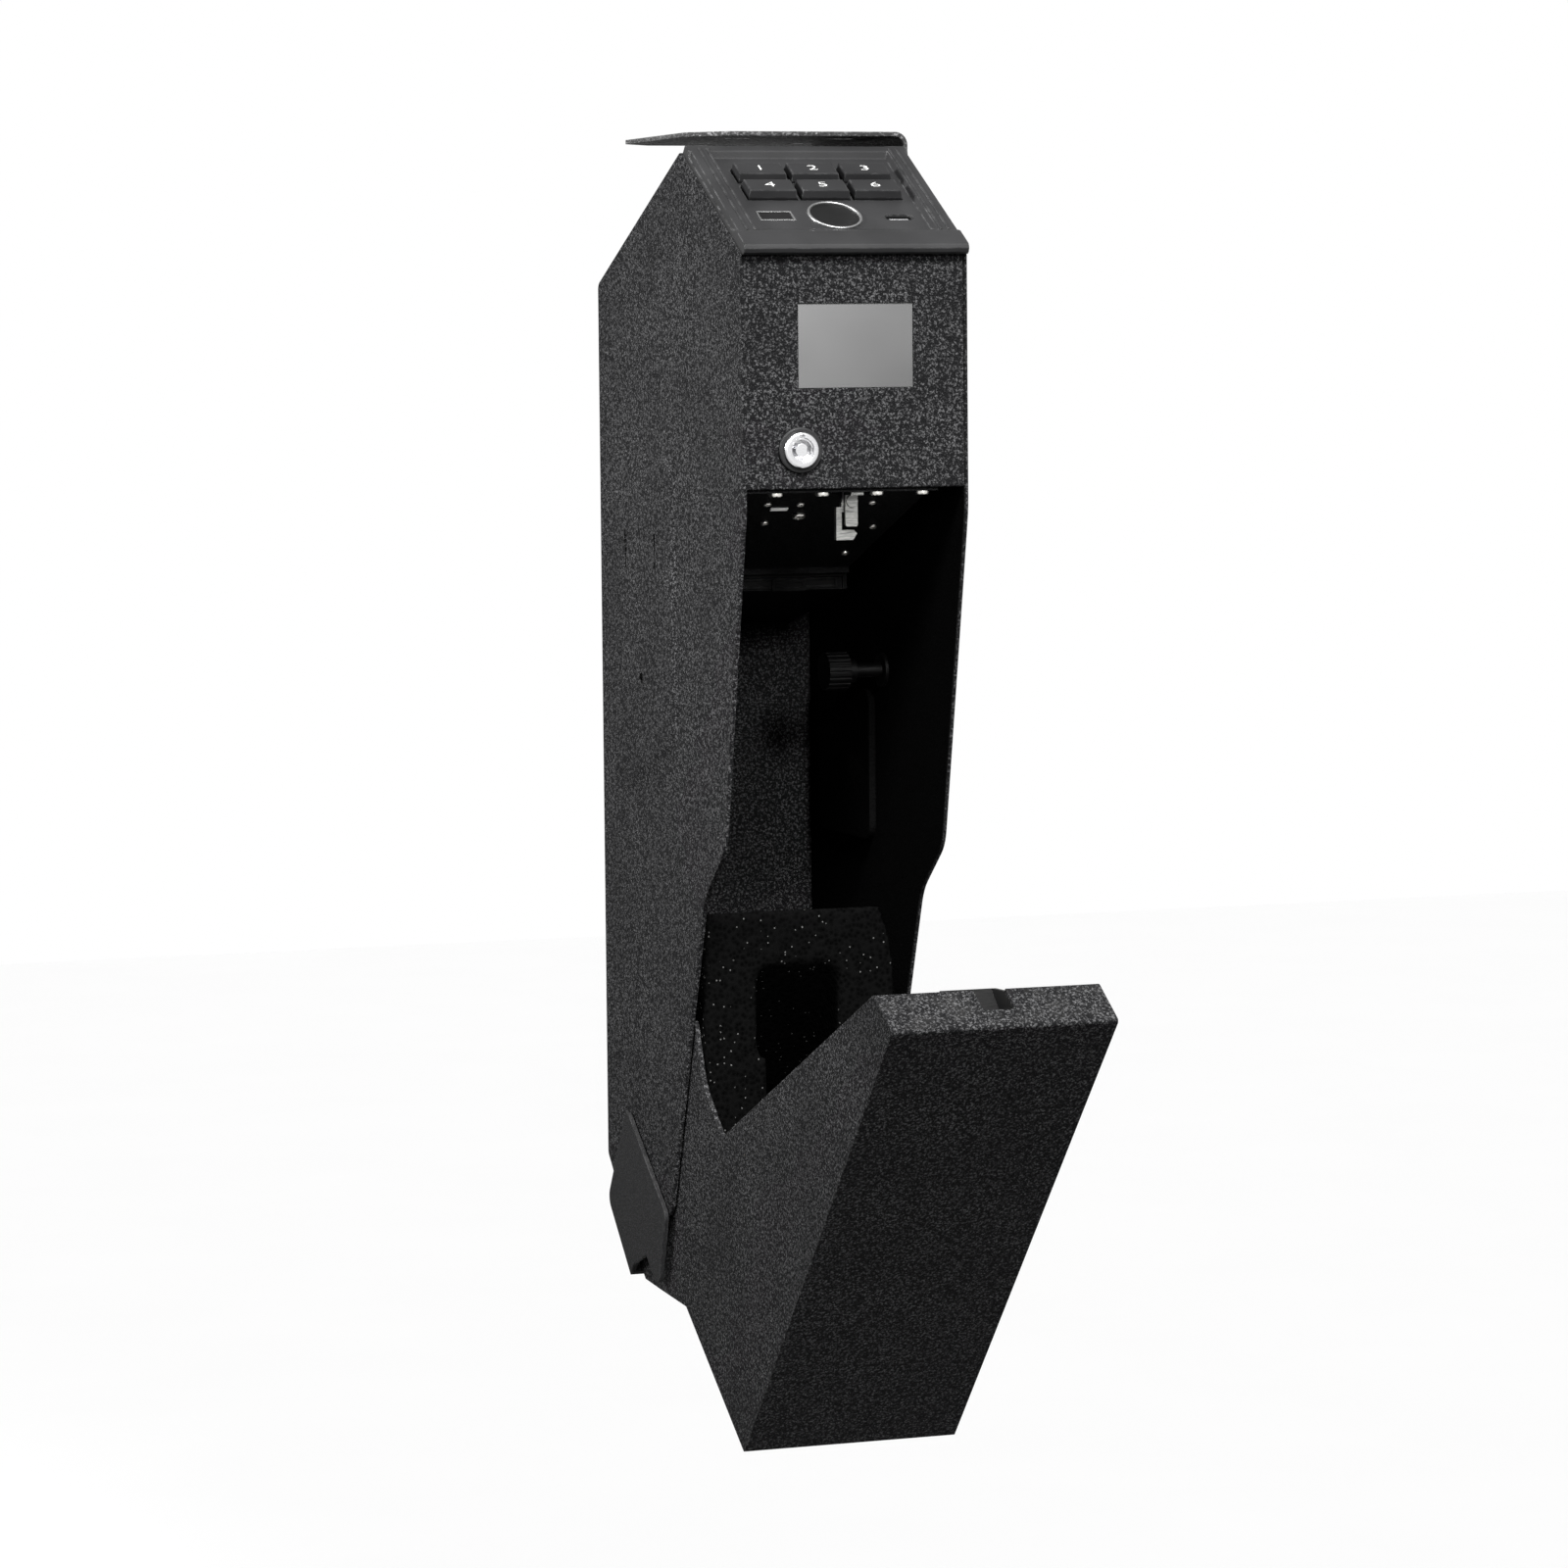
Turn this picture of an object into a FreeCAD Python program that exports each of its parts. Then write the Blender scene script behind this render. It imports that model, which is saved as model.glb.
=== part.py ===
import FreeCAD, Part
import math
import os

# Tall quick-access wall safe: a narrow folded-steel case with a keypad deck on top, and a
# deep door tub that drops open about a rod at the lower rear. Millimetres.
# Working frame while modelling: X to the right, Y to the rear, Z up, y = 0 on the front
# face and z = 0 on the lower edge of the upper front panel. Every node is moved at the end
# so that the origin is the centre of the wall bolt pattern, on the bracket's outer face.

# ---- case ----
CASE_WIDTH = 80.0
CASE_DEPTH = 159.0
SHEET = 1.5
HALF = CASE_WIDTH / 2
INSIDE = HALF - SHEET
DECK_FRONT = (0.0, 78.0)
RIDGE = (62.6, 113.5)
BACK_TOP_Z = 69.8
BACK_BOTTOM_Z = -243.5
DECK_ANGLE = math.atan2(RIDGE[1] - DECK_FRONT[1], RIDGE[0] - DECK_FRONT[0])
DECK_LENGTH = math.hypot(RIDGE[0] - DECK_FRONT[0], RIDGE[1] - DECK_FRONT[1])

# ---- door ----
HINGE_Y, HINGE_Z = 141.3, -255.4
DOOR_OPEN_DEG = 42.5
DOOR_HALF = 38.0
DOOR_TOP_Z = -2.7
DOOR_BOTTOM_Z = -221.0
DOOR_LIP_DEPTH = 18.8
LIP_DROP = 3.6
EAR_GAP = 0.4
LOBE_RADIUS = 7.5
ROD_RADIUS = 3.0
BUSH_RADIUS = 4.6
RUNNING_FIT = 0.05

# ---- keypad deck (u across, v up the slope, w out of the slope) ----
KEY_PITCH_U, KEY_PITCH_V = 18.8, 12.0
KEY_CENTRE_U, KEY_FIRST_V = 0.3, 50.6
KEY_WIDTH, KEY_HEIGHT = 17.2, 9.2
SENSOR_U, SENSOR_V, SENSOR_RADIUS = 0.0, 22.8, 8.5
WINDOW_U, WINDOW_V = -20.9, 22.8
PORT_U, PORT_V = 22.6, 21.6
RAIL_TOP, FIELD_TOP = 4.0, 1.8

# ---- front face ----
DISPLAY_X0, DISPLAY_X1 = -20.0, 20.7
DISPLAY_Z0, DISPLAY_Z1 = 33.4, 61.5
LOCK_X, LOCK_Z = -19.7, 13.0
LOCK_BODY_RADIUS = 6.0
PLUG_RADIUS = 4.1
RETURN_Y = 7.2

# ---- side slits ----
SLITS_Y, SLIT_Z = (93.5, 126.8), -23.7
SLIT_LENGTH, SLIT_WIDTH = 13.0, 1.6

# ---- inside ----
TRAY_FOLD_Y, TRAY_FRONT_Z = 11.0, -1.2
TRAY_REAR = (92.0, -30.5)
TRAY_SHEET = 1.2
TRAY_RIGHT = 30.0
BATTERY_TOP_Z = -21.0
BATTERY_LEFT, BATTERY_RIGHT = -37.5, 30.0
BATTERY_FRONT_Y, BATTERY_REAR_Y = 93.4, 156.8
BATTERY_FRONT_Z, BATTERY_SLOPE = -37.9, -0.248
BATTERY_WALL = 1.4
LID_HINGE_Y, LID_HINGE_Z = 152.0, -51.1
LID_THICKNESS, LID_CLEARANCE = 1.5, 0.3
LID_BARREL_RADIUS, LID_PIN_RADIUS = 1.5, 0.8
LID_LIP_TOP_Z = -33.8
MOUTH_TOP_Z = -33.5
BELOW_BATTERY_Z = -60.0
CELL_RADIUS, CELL_LENGTH = 7.1, 50.0
CELL_FIRST_Y, CELL_PITCH = 103.2, 14.8
CELL_NOSE_LENGTH, CELL_NOSE_RADIUS = 1.2, 2.7
CONTACT_LENGTH = 3.2
CELL_STOP_X = BATTERY_LEFT + BATTERY_WALL + CONTACT_LENGTH + CELL_LENGTH
DIVIDER_GAP, DIVIDER_LIFT, DIVIDER_REAR_Y = 2.2, 2.4, 147.0
LATCH_X, LATCH_Z = 1.7, -4.5
LATCH_Y = 11.5
FOAM_RIGHT = 33.0
THUMB_Y, THUMB_Z = 80.0, -66.0

# ---- mounting ----
LEG_FRONT_Y, LEG_REAR_Y = 60.0, 152.0
LEG_BOTTOM_Z = -136.0
FLANGE_UNDER_Z = 119.0
FLANGE_LEFT_X = -35.0
BOLT_Y, BOLT_Z = 115.0, -100.0
BOLT_SPACING = 40.0
BOLT_HOLE_RADIUS = 3.3
RECESS_DEPTH = 2.4
ORIGIN = FreeCAD.Vector(HALF + SHEET, BOLT_Y, BOLT_Z)

X_AXIS = FreeCAD.Vector(1, 0, 0)
Y_AXIS = FreeCAD.Vector(0, 1, 0)
Z_AXIS = FreeCAD.Vector(0, 0, 1)
NODES = {}


def vec(x, y, z):
    return FreeCAD.Vector(x, y, z)


def box(x0, x1, y0, y1, z0, z1):
    return Part.makeBox(x1 - x0, y1 - y0, z1 - z0, vec(x0, y0, z0))


def rod(start, direction, radius, length):
    return Part.makeCylinder(radius, length, vec(*start), direction)


def tube(start, direction, outer, inner, length):
    return rod(start, direction, outer, length).cut(rod(start, direction, inner, length))


def outline(points):
    """Closed wire through (y, z) or (y, z, corner radius) points in the plane x = 0."""
    corners = []
    count = len(points)
    for i, point in enumerate(points):
        here = vec(0, point[0], point[1])
        radius = point[2] if len(point) > 2 else 0.0
        before = vec(0, points[i - 1][0], points[i - 1][1])
        after = vec(0, points[(i + 1) % count][0], points[(i + 1) % count][1])
        if radius == 0.0:
            corners.append((here, None, here))
            continue
        into = (before - here).normalize()
        out = (after - here).normalize()
        half_angle = math.acos(max(-1.0, min(1.0, into.dot(out)))) / 2
        reach = radius / math.tan(half_angle)
        bisector = (into + out).normalize()
        centre = here + bisector * (radius / math.sin(half_angle))
        corners.append((here + into * reach, centre - bisector * radius, here + out * reach))
    edges = []
    for i, (start, middle, end) in enumerate(corners):
        if middle is not None:
            edges.append(Part.Arc(start, middle, end).toShape())
        following = corners[(i + 1) % count][0]
        if (following - end).Length > 1e-6:
            edges.append(Part.LineSegment(end, following).toShape())
    return Part.Wire(edges)


def plate(points, x0, x1):
    """Flat plate with a (y, z) outline between two x planes."""
    face = Part.Face(outline(points))
    face.translate(vec(x0, 0, 0))
    return face.extrude(vec(x1 - x0, 0, 0))


def folded_sheet(path, thickness, x0, x1):
    """Sheet folded along a (y, z) path; the thickness lies to the left of the path."""
    inner = []
    for i, (y, z) in enumerate(path):
        normals = []
        for a, b in ((i - 1, i), (i, i + 1)):
            if a >= 0 and b < len(path):
                run = vec(0, path[b][0] - path[a][0], path[b][1] - path[a][1]).normalize()
                normals.append(vec(0, -run.z, run.y))
        if len(normals) == 1:
            offset = normals[0] * thickness
        else:
            mitre = (normals[0] + normals[1]).normalize()
            offset = mitre * (thickness / mitre.dot(normals[0]))
        inner.append((y + offset.y, z + offset.z))
    return plate(list(path) + inner[::-1], x0, x1)


def slot(centre, along, length, width, through, depth):
    """Round-ended slot cutter: centre, long direction, overall length, width, depth."""
    reach = (length - width) / 2
    cutter = Part.makeCylinder(width / 2, depth, vec(*centre) + along * reach, through)
    cutter = cutter.fuse(Part.makeCylinder(width / 2, depth, vec(*centre) - along * reach, through))
    across = through.cross(along)
    corner = vec(*centre) - along * reach - across * (width / 2)
    points = [corner, corner + along * 2 * reach,
              corner + along * 2 * reach + across * width, corner + across * width]
    middle = Part.Face(Part.makePolygon(points + [corner])).extrude(through * depth)
    return cutter.fuse(middle).removeSplitter()


def prism(rect_low, rect_high, w_low, w_high):
    """Tapered block between two centred rectangles (u0, u1, v0, v1) at two heights."""
    wires = []
    for (u0, u1, v0, v1), w in ((rect_low, w_low), (rect_high, w_high)):
        points = [vec(u0, v0, w), vec(u1, v0, w), vec(u1, v1, w), vec(u0, v1, w), vec(u0, v0, w)]
        wires.append(Part.makePolygon(points))
    return Part.makeLoft(wires, True, True)


def on_deck(shape):
    """Place a shape drawn in deck coordinates (u, v, w) on the sloping deck."""
    placed = shape.copy()
    placed.rotate(vec(0, 0, 0), X_AXIS, math.degrees(DECK_ANGLE))
    placed.translate(vec(0, DECK_FRONT[0], DECK_FRONT[1]))
    return placed


def soften(shape, radius, chooser):
    """Fillet the edges that the chooser picks."""
    edges = [edge for edge in shape.Edges if chooser(edge)]
    return shape.makeFillet(radius, edges) if edges else shape


def along(axis):
    """Chooser for straight edges that run along one axis."""
    def pick(edge):
        if not isinstance(edge.Curve, Part.Line):
            return False
        return abs(abs(edge.tangentAt(edge.FirstParameter).dot(axis)) - 1) < 1e-6
    return pick


def add(name, shape):
    NODES[name] = shape


def add_door(name, shape):
    """A door piece is drawn with the door shut and stored swung down to its stop."""
    opened = shape.copy()
    opened.rotate(vec(0, HINGE_Y, HINGE_Z), X_AXIS, DOOR_OPEN_DEG)
    NODES[name] = opened


# ---------------------------------------------------------------- case panels
def case_profile():
    return [(0, 78, 1.5), (RIDGE[0], RIDGE[1], 3), (CASE_DEPTH, BACK_TOP_Z, 3),
            (CASE_DEPTH, BACK_BOTTOM_Z, 3),
            (HINGE_Y + 6.5, HINGE_Z + 1.2, 4), (HINGE_Y + 1.0, HINGE_Z - LOBE_RADIUS, 6),
            (HINGE_Y - 8.5, HINGE_Z - 4.6, 5), (110, -256.5, 6), (86.5, -256.5, 8),
            (60.7, -183.2, 60), (44.7, -140, 18), (23.6, -123, 14), (0, -8, 40)]


def emboss(x_root, x_top, grow):
    """Raised parallelogram with sloping edges, drawn at its root and at its top."""
    slope = 22.0 / 64.0
    corners = []
    for inset in (0.0, 3.0):
        y0, y1 = 72 - grow + inset, 136 + grow - inset
        corners.append([(y0, 16 + grow - inset * 1.4, 9), (y0, -92 - grow + inset * 1.4, 9),
                        (y1, -92 - grow - (y1 - y0) * slope + inset * 1.4, 9),
                        (y1, 16 + grow - (y1 - y0) * slope - inset * 1.4, 9)])
    low = outline(corners[0])
    high = outline(corners[1])
    low.translate(vec(x_root, 0, 0))
    high.translate(vec(x_top, 0, 0))
    return Part.makeLoft([low, high], True, True)


def vent_slits(x0, x1):
    cuts = []
    for y in SLITS_Y:
        cuts.append(slot((x0, y, SLIT_Z), Z_AXIS, SLIT_LENGTH, SLIT_WIDTH, X_AXIS, x1 - x0))
    return cuts


def side_panels():
    bush_hole = rod((-HALF - 3, HINGE_Y, HINGE_Z), X_AXIS, BUSH_RADIUS, CASE_WIDTH + 6)
    left = plate(case_profile(), -HALF, -INSIDE)
    left = left.fuse(emboss(-HALF, -HALF - 1.0, 0.0)).cut(emboss(-INSIDE, -INSIDE - 1.0, -1.0))
    left = left.removeSplitter()
    for cut in vent_slits(-HALF - 4, -HALF + 6):
        left = left.cut(cut)
    left = left.cut(rod((-HALF - 4, 110.3, -68.5), X_AXIS, 1.9, 10)).cut(bush_hole)
    add("left_side_panel", left)

    right = plate(case_profile(), INSIDE, HALF)
    for cut in vent_slits(INSIDE - 2, HALF + 2):
        right = right.cut(cut)
    right = right.fuse(head_recess(INSIDE - RECESS_DEPTH, INSIDE, SHEET)).removeSplitter()
    right = right.cut(head_recess(HALF - RECESS_DEPTH, HALF, 0.0))
    right = right.cut(rod((INSIDE - 2, THUMB_Y, THUMB_Z), X_AXIS, 3.3, 8)).cut(bush_hole)
    add("right_side_panel", right)


def head_recess(x0, x1, grow):
    """Pressed-in square that leaves room for the wall bolts' heads."""
    reach = BOLT_SPACING / 2 + 5.0 + grow
    corners = [(BOLT_Y + sy * reach, BOLT_Z + sz * reach, 4.0 + grow)
               for sy, sz in ((-1, -1), (1, -1), (1, 1), (-1, 1))]
    return plate(corners, x0, x1)


def bolt_places():
    reach = BOLT_SPACING / 2
    return [(BOLT_Y + sy * reach, BOLT_Z + sz * reach) for sy in (-1, 1) for sz in (-1, 1)]


def front_panel():
    """Front face and keypad deck folded from one sheet, with an inward lower return."""
    face = folded_sheet([(0.0, 0.0), DECK_FRONT, (RIDGE[0] - 0.4, RIDGE[1] - 0.23)], -SHEET,
                        -INSIDE, INSIDE)
    face = face.fuse(box(-INSIDE, INSIDE, SHEET, RETURN_Y, 0.0, SHEET)).removeSplitter()
    face = soften(face, 0.7, lambda e: along(X_AXIS)(e) and e.CenterOfMass.y < 0.01
                  and e.CenterOfMass.z < DECK_FRONT[1] + 1)
    face = face.cut(box(DISPLAY_X0, DISPLAY_X1, -2, 4, DISPLAY_Z0, DISPLAY_Z1))
    face = face.cut(rod((LOCK_X, -2, LOCK_Z), Y_AXIS, LOCK_BODY_RADIUS + RUNNING_FIT, 6))
    for x, y in tray_screw_places():
        if y < RETURN_Y:
            face = face.cut(rod((x, y, -1), Z_AXIS, 1.0, 4))
    deck_window = box(-30, 30, 8, 62, -SHEET - 1, 1)
    add("front_panel", face.cut(on_deck(deck_window)))


def rear_cover():
    """Rear slope and back wall folded from one sheet."""
    path = [(RIDGE[0], RIDGE[1]), (CASE_DEPTH, BACK_TOP_Z), (CASE_DEPTH, BACK_BOTTOM_Z + 3)]
    cover = folded_sheet(path, -SHEET, -INSIDE, INSIDE)
    cover = cover.cut(box(-HALF, HALF, RIDGE[0] - 6, RIDGE[0] + 0.35, RIDGE[1] - 8, RIDGE[1] + 6))
    cover = soften(cover, 2.0, lambda e: along(X_AXIS)(e) and e.CenterOfMass.y > CASE_DEPTH - 0.01
                   and e.CenterOfMass.z > 0)
    add("rear_cover", cover)


# ---------------------------------------------------------------- electronics
def tray():
    path = [(SHEET + 0.8, TRAY_FRONT_Z), (TRAY_FOLD_Y, TRAY_FRONT_Z), TRAY_REAR]
    sheet = folded_sheet(path, TRAY_SHEET, -INSIDE + 0.3, TRAY_RIGHT)
    stiffener = box(-INSIDE + 0.3, TRAY_RIGHT, TRAY_REAR[0] - 1.2, TRAY_REAR[0],
                    TRAY_REAR[1] - 1.6, TRAY_REAR[1] + 0.5)
    sheet = sheet.fuse(stiffener).removeSplitter()
    sheet = sheet.cut(box(LATCH_X - 6, LATCH_X + 8, 10.6, 14.6, -4, 4))
    for x, y in tray_screw_places():
        sheet = sheet.cut(rod(tray_point(x, y, -3), tray_normal(y), 1.05, 8))
    for x, y in small_screw_places():
        sheet = sheet.cut(rod(tray_point(x, y, -3), tray_normal(y), 0.75, 8))
    sheet = sheet.cut(tray_light_cutter())
    add("electronics_tray", sheet)


def tray_point(x, y, lift):
    """Point under the tray at depth y, lifted along the local normal."""
    if y < TRAY_FOLD_Y:
        return (x, y, TRAY_FRONT_Z + lift)
    share = (y - TRAY_FOLD_Y) / (TRAY_REAR[0] - TRAY_FOLD_Y)
    base_z = TRAY_FRONT_Z + share * (TRAY_REAR[1] - TRAY_FRONT_Z)
    normal = tray_normal(y)
    return (x, y + normal.y * lift, base_z + normal.z * lift)


def tray_normal(y):
    if y < TRAY_FOLD_Y:
        return Z_AXIS
    run = vec(0, TRAY_REAR[0] - TRAY_FOLD_Y, TRAY_REAR[1] - TRAY_FRONT_Z).normalize()
    return vec(0, -run.z, run.y)


def tray_tilt_deg():
    drop = TRAY_FRONT_Z - TRAY_REAR[1]
    return -math.degrees(math.atan2(drop, TRAY_REAR[0] - TRAY_FOLD_Y))


def tray_screw_places():
    """Places (x, y) of the wide-headed screws, the front row first."""
    return [(-26.7, 4.8), (-10.3, 4.8), (9.0, 4.8), (25.2, 4.8), (-8.5, 33.8)]


def small_screw_places():
    """Places (x, y) of the small screws on the tray's slope."""
    return [(-23.7, 22.1), (-11.7, 22.8), (13.8, 22.2), (-18.3, 41.2), (23.1, 47.3), (22.8, 75.0)]


def tray_light_cutter():
    x, y, z = tray_point(-17.8, 27.4, 0)
    block = box(-3.1, 3.1, -1.1, 1.1, -3, 3)
    block.rotate(vec(0, 0, 0), X_AXIS, tray_tilt_deg())
    block.translate(vec(x, y, z))
    return block


def tray_fasteners():
    screws = []
    for x, y in tray_screw_places():
        normal = tray_normal(y)
        head = Part.makeCylinder(2.4, 1.3, vec(*tray_point(x, y, -1.3)), normal)
        head = soften(head, 0.7, lambda e: e.Length > 12 and
                      (e.CenterOfMass - vec(*tray_point(x, y, -1.3))).Length < 0.01)
        shank = Part.makeCylinder(1.0, 4.2, vec(*tray_point(x, y, 0)), normal)
        screws.append(head.fuse(shank).removeSplitter())
    for x, y in small_screw_places():
        normal = tray_normal(y)
        head = Part.makeCylinder(1.5, 0.9, vec(*tray_point(x, y, -0.9)), normal)
        shank = Part.makeCylinder(0.7, 3.0, vec(*tray_point(x, y, 0)), normal)
        screws.append(head.fuse(shank).removeSplitter())
    add("tray_screws", Part.makeCompound(screws))
    x, y, z = tray_point(-17.8, 27.4, -0.5)
    lens = box(-3.0, 3.0, -1.0, 1.0, 0, 2.4)
    lens.rotate(vec(0, 0, 0), X_AXIS, tray_tilt_deg())
    lens.translate(vec(x, y, z))
    add("interior_light", lens)


def display():
    gap = 0.15
    pane = box(DISPLAY_X0 + gap, DISPLAY_X1 - gap, 0.35, 1.85, DISPLAY_Z0 + gap, DISPLAY_Z1 - gap)
    add("display_window", pane)
    add("display_module", box(DISPLAY_X0 - 1.5, DISPLAY_X1 + 1.5, 1.85, 5.0,
                              DISPLAY_Z0 - 2, DISPLAY_Z1 + 2))
    board = box(-34, 34, 5.0, 6.6, 24, 70)
    for x, z in board_screw_places():
        board = board.cut(rod((x, 4, z), Y_AXIS, 1.3, 4))
    add("main_board", board)
    screws = []
    for x, z in board_screw_places():
        post = rod((x, SHEET, z), Y_AXIS, 1.25, 5.1)
        screws.append(post.fuse(rod((x, 6.6, z), Y_AXIS, 2.3, 1.4)))
    add("board_screws", Part.makeCompound([s.removeSplitter() for s in screws]))
    add("main_chip", box(-7, 7, 6.6, 8.2, 40, 54))
    add("buzzer", tube((24, 6.6, 34), Y_AXIS, 5.0, 1.0, 5.5))


def board_screw_places():
    return [(x, z) for x in (-30.5, 30.5) for z in (27.0, 67.0)]


def cam_lock():
    """Tubular cam lock: threaded body through the front, turning plug, nut and cam."""
    collar = tube((LOCK_X, -1.2, LOCK_Z), Y_AXIS, 7.6, LOCK_BODY_RADIUS, 1.2)
    collar = soften(collar, 0.5, lambda e: e.Length > 45 and e.CenterOfMass.y < -1.1)
    add("lock_collar", collar)
    body = rod((LOCK_X, -2.6, LOCK_Z), Y_AXIS, LOCK_BODY_RADIUS, 19.6)
    body = soften(body, 0.8, lambda e: e.Length > 30 and e.CenterOfMass.y < -2.5)
    body = body.cut(rod((LOCK_X, -3, LOCK_Z), Y_AXIS, PLUG_RADIUS + RUNNING_FIT, 21))
    body = body.cut(box(LOCK_X - 0.9, LOCK_X + 0.9, -3, -1.0, LOCK_Z + 3.5, LOCK_Z + 5.2))
    add("lock_body", body)
    plug = rod((LOCK_X, -2.1, LOCK_Z), Y_AXIS, PLUG_RADIUS, 19.4)
    plug = plug.cut(tube((LOCK_X, -3, LOCK_Z), Y_AXIS, 3.5, 2.2, 6.9))
    plug = plug.cut(box(LOCK_X + 1.8, LOCK_X + 4.4, -3, -1.0, LOCK_Z - 0.8, LOCK_Z + 0.8))
    add("lock_plug", plug)
    nut_outer = [vec(LOCK_X + 8.4 * math.cos(math.radians(a)), SHEET,
                     LOCK_Z + 8.4 * math.sin(math.radians(a))) for a in range(0, 361, 60)]
    nut = Part.Face(Part.makePolygon(nut_outer)).extrude(vec(0, 3.0, 0))
    nut = nut.cut(rod((LOCK_X, 0, LOCK_Z), Y_AXIS, LOCK_BODY_RADIUS, 8))
    add("lock_nut", nut)
    cam = box(LOCK_X - 3.4, LOCK_X + 15.0, 17.3, 19.0, LOCK_Z - 3.4, LOCK_Z + 3.4)
    cam = soften(cam, 3.3, along(Y_AXIS))
    add("lock_cam", cam)
    screw = rod((LOCK_X, 19.0, LOCK_Z), Y_AXIS, 2.6, 1.8)
    add("cam_screw", screw.cut(box(LOCK_X - 3, LOCK_X + 3, 20.1, 22, LOCK_Z - 0.4, LOCK_Z + 0.4)))


# ---------------------------------------------------------------- keypad
def key_centres():
    rows = (KEY_FIRST_V, KEY_FIRST_V - KEY_PITCH_V)
    columns = [KEY_CENTRE_U + i * KEY_PITCH_U for i in (-1, 0, 1)]
    return [(u, v) for v in rows for u in columns]


def keypad_bezel():
    profile = [(-0.4, 0.0), (-1.9, 0.6), (-2.4, 1.6), (-2.2, 3.0), (-1.0, 4.1, 1.2), (8.0, 4.2, 1.5),
               (13.5, FIELD_TOP, 2), (DECK_LENGTH - 8.5, FIELD_TOP, 0.8),
               (DECK_LENGTH - 6.6, RAIL_TOP, 1), (DECK_LENGTH - 2.6, RAIL_TOP, 1.2),
               (DECK_LENGTH - 1.6, 0.0)]
    bezel = plate(profile, -39.6, 39.6)
    for side in (-1, 1):
        rail = prism((30.6, 39.6, -0.9, DECK_LENGTH - 2.2), (32.2, 38.8, -0.4, DECK_LENGTH - 3.0),
                     0.0, RAIL_TOP)
        if side < 0:
            rail = rail.mirror(vec(0, 0, 0), X_AXIS)
        bezel = bezel.fuse(rail)
    bezel = bezel.removeSplitter()
    for u, v in key_centres():
        hole = box(u - KEY_WIDTH / 2 - 0.35, u + KEY_WIDTH / 2 + 0.35,
                   v - KEY_HEIGHT / 2 - 0.35, v + KEY_HEIGHT / 2 + 0.35, -1, 6)
        bezel = bezel.cut(hole)
    bezel = bezel.cut(rod((SENSOR_U, SENSOR_V, -1), Z_AXIS, SENSOR_RADIUS + 0.9, 6))
    bezel = bezel.cut(box(WINDOW_U - 6.2, WINDOW_U + 6.2, WINDOW_V - 3.1, WINDOW_V + 3.1, -1, 6))
    bezel = bezel.cut(slot((PORT_U, PORT_V, -1), X_AXIS, 10.2, 3.8, Z_AXIS, 6))
    add("keypad_bezel", on_deck(bezel))


def keys():
    for number, (u, v) in enumerate(key_centres(), start=1):
        half_u, half_v = KEY_WIDTH / 2, KEY_HEIGHT / 2
        skirt = box(u - half_u, u + half_u, v - half_v, v + half_v, 0.6, 2.6)
        cap = prism((u - half_u, u + half_u, v - half_v, v + half_v),
                    (u - half_u + 0.4, u + half_u - 0.4, v - half_v + 1.0, v + half_v - 0.5),
                    2.6, 5.0)
        cap = soften(cap, 0.4, lambda e: e.CenterOfMass.z > 4.99)
        stem = box(u - 2.5, u + 2.5, v - 1.5, v + 1.5, 0.0, 0.6)
        add("key_%d" % number, on_deck(skirt.fuse([cap, stem]).removeSplitter()))


def keypad_parts():
    membrane = box(-29.5, 29.5, 31.5, 60.5, -1.9, -0.9)
    add("key_membrane", on_deck(membrane))
    add("keypad_board", on_deck(box(-29.5, 29.5, 9.5, 60.5, -3.5, -1.9)))
    sensor = rod((SENSOR_U, SENSOR_V, -1.9), Z_AXIS, SENSOR_RADIUS - 0.05, 3.5)
    bowl = Part.makeSphere(40, vec(SENSOR_U, SENSOR_V, 1.0 + 40))
    add("fingerprint_sensor", on_deck(sensor.cut(bowl)))
    ring = tube((SENSOR_U, SENSOR_V, -0.4), Z_AXIS, SENSOR_RADIUS + 0.9, SENSOR_RADIUS - 0.05, 2.8)
    ring = soften(ring, 0.35, lambda e: e.CenterOfMass.z > 2.3 and e.Length > 10)
    add("sensor_ring", on_deck(ring))
    frame = box(WINDOW_U - 6.2, WINDOW_U + 6.2, WINDOW_V - 3.1, WINDOW_V + 3.1, -0.4, FIELD_TOP + 0.1)
    opening = box(WINDOW_U - 5.7, WINDOW_U + 5.7, WINDOW_V - 2.6, WINDOW_V + 2.6, -1, 3)
    add("status_window_frame", on_deck(frame.cut(opening)))
    add("status_window", on_deck(box(WINDOW_U - 5.7, WINDOW_U + 5.7, WINDOW_V - 2.6, WINDOW_V + 2.6,
                                     -1.9, FIELD_TOP - 0.2)))
    shell = slot((PORT_U, PORT_V, -1.9), X_AXIS, 10.2, 3.8, Z_AXIS, FIELD_TOP + 1.7)
    shell = shell.cut(slot((PORT_U, PORT_V, -1.2), X_AXIS, 9.4, 3.0, Z_AXIS, 5))
    add("power_port", on_deck(shell))
    add("port_tongue", on_deck(box(PORT_U - 3.4, PORT_U + 3.4, PORT_V - 0.35, PORT_V + 0.35,
                                   -1.2, FIELD_TOP - 0.8)))


# ---------------------------------------------------------------- batteries
def battery_under(y):
    """Height of the outside of the compartment's sloping underside at depth y."""
    return BATTERY_FRONT_Z + BATTERY_SLOPE * (y - BATTERY_FRONT_Y)


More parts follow.
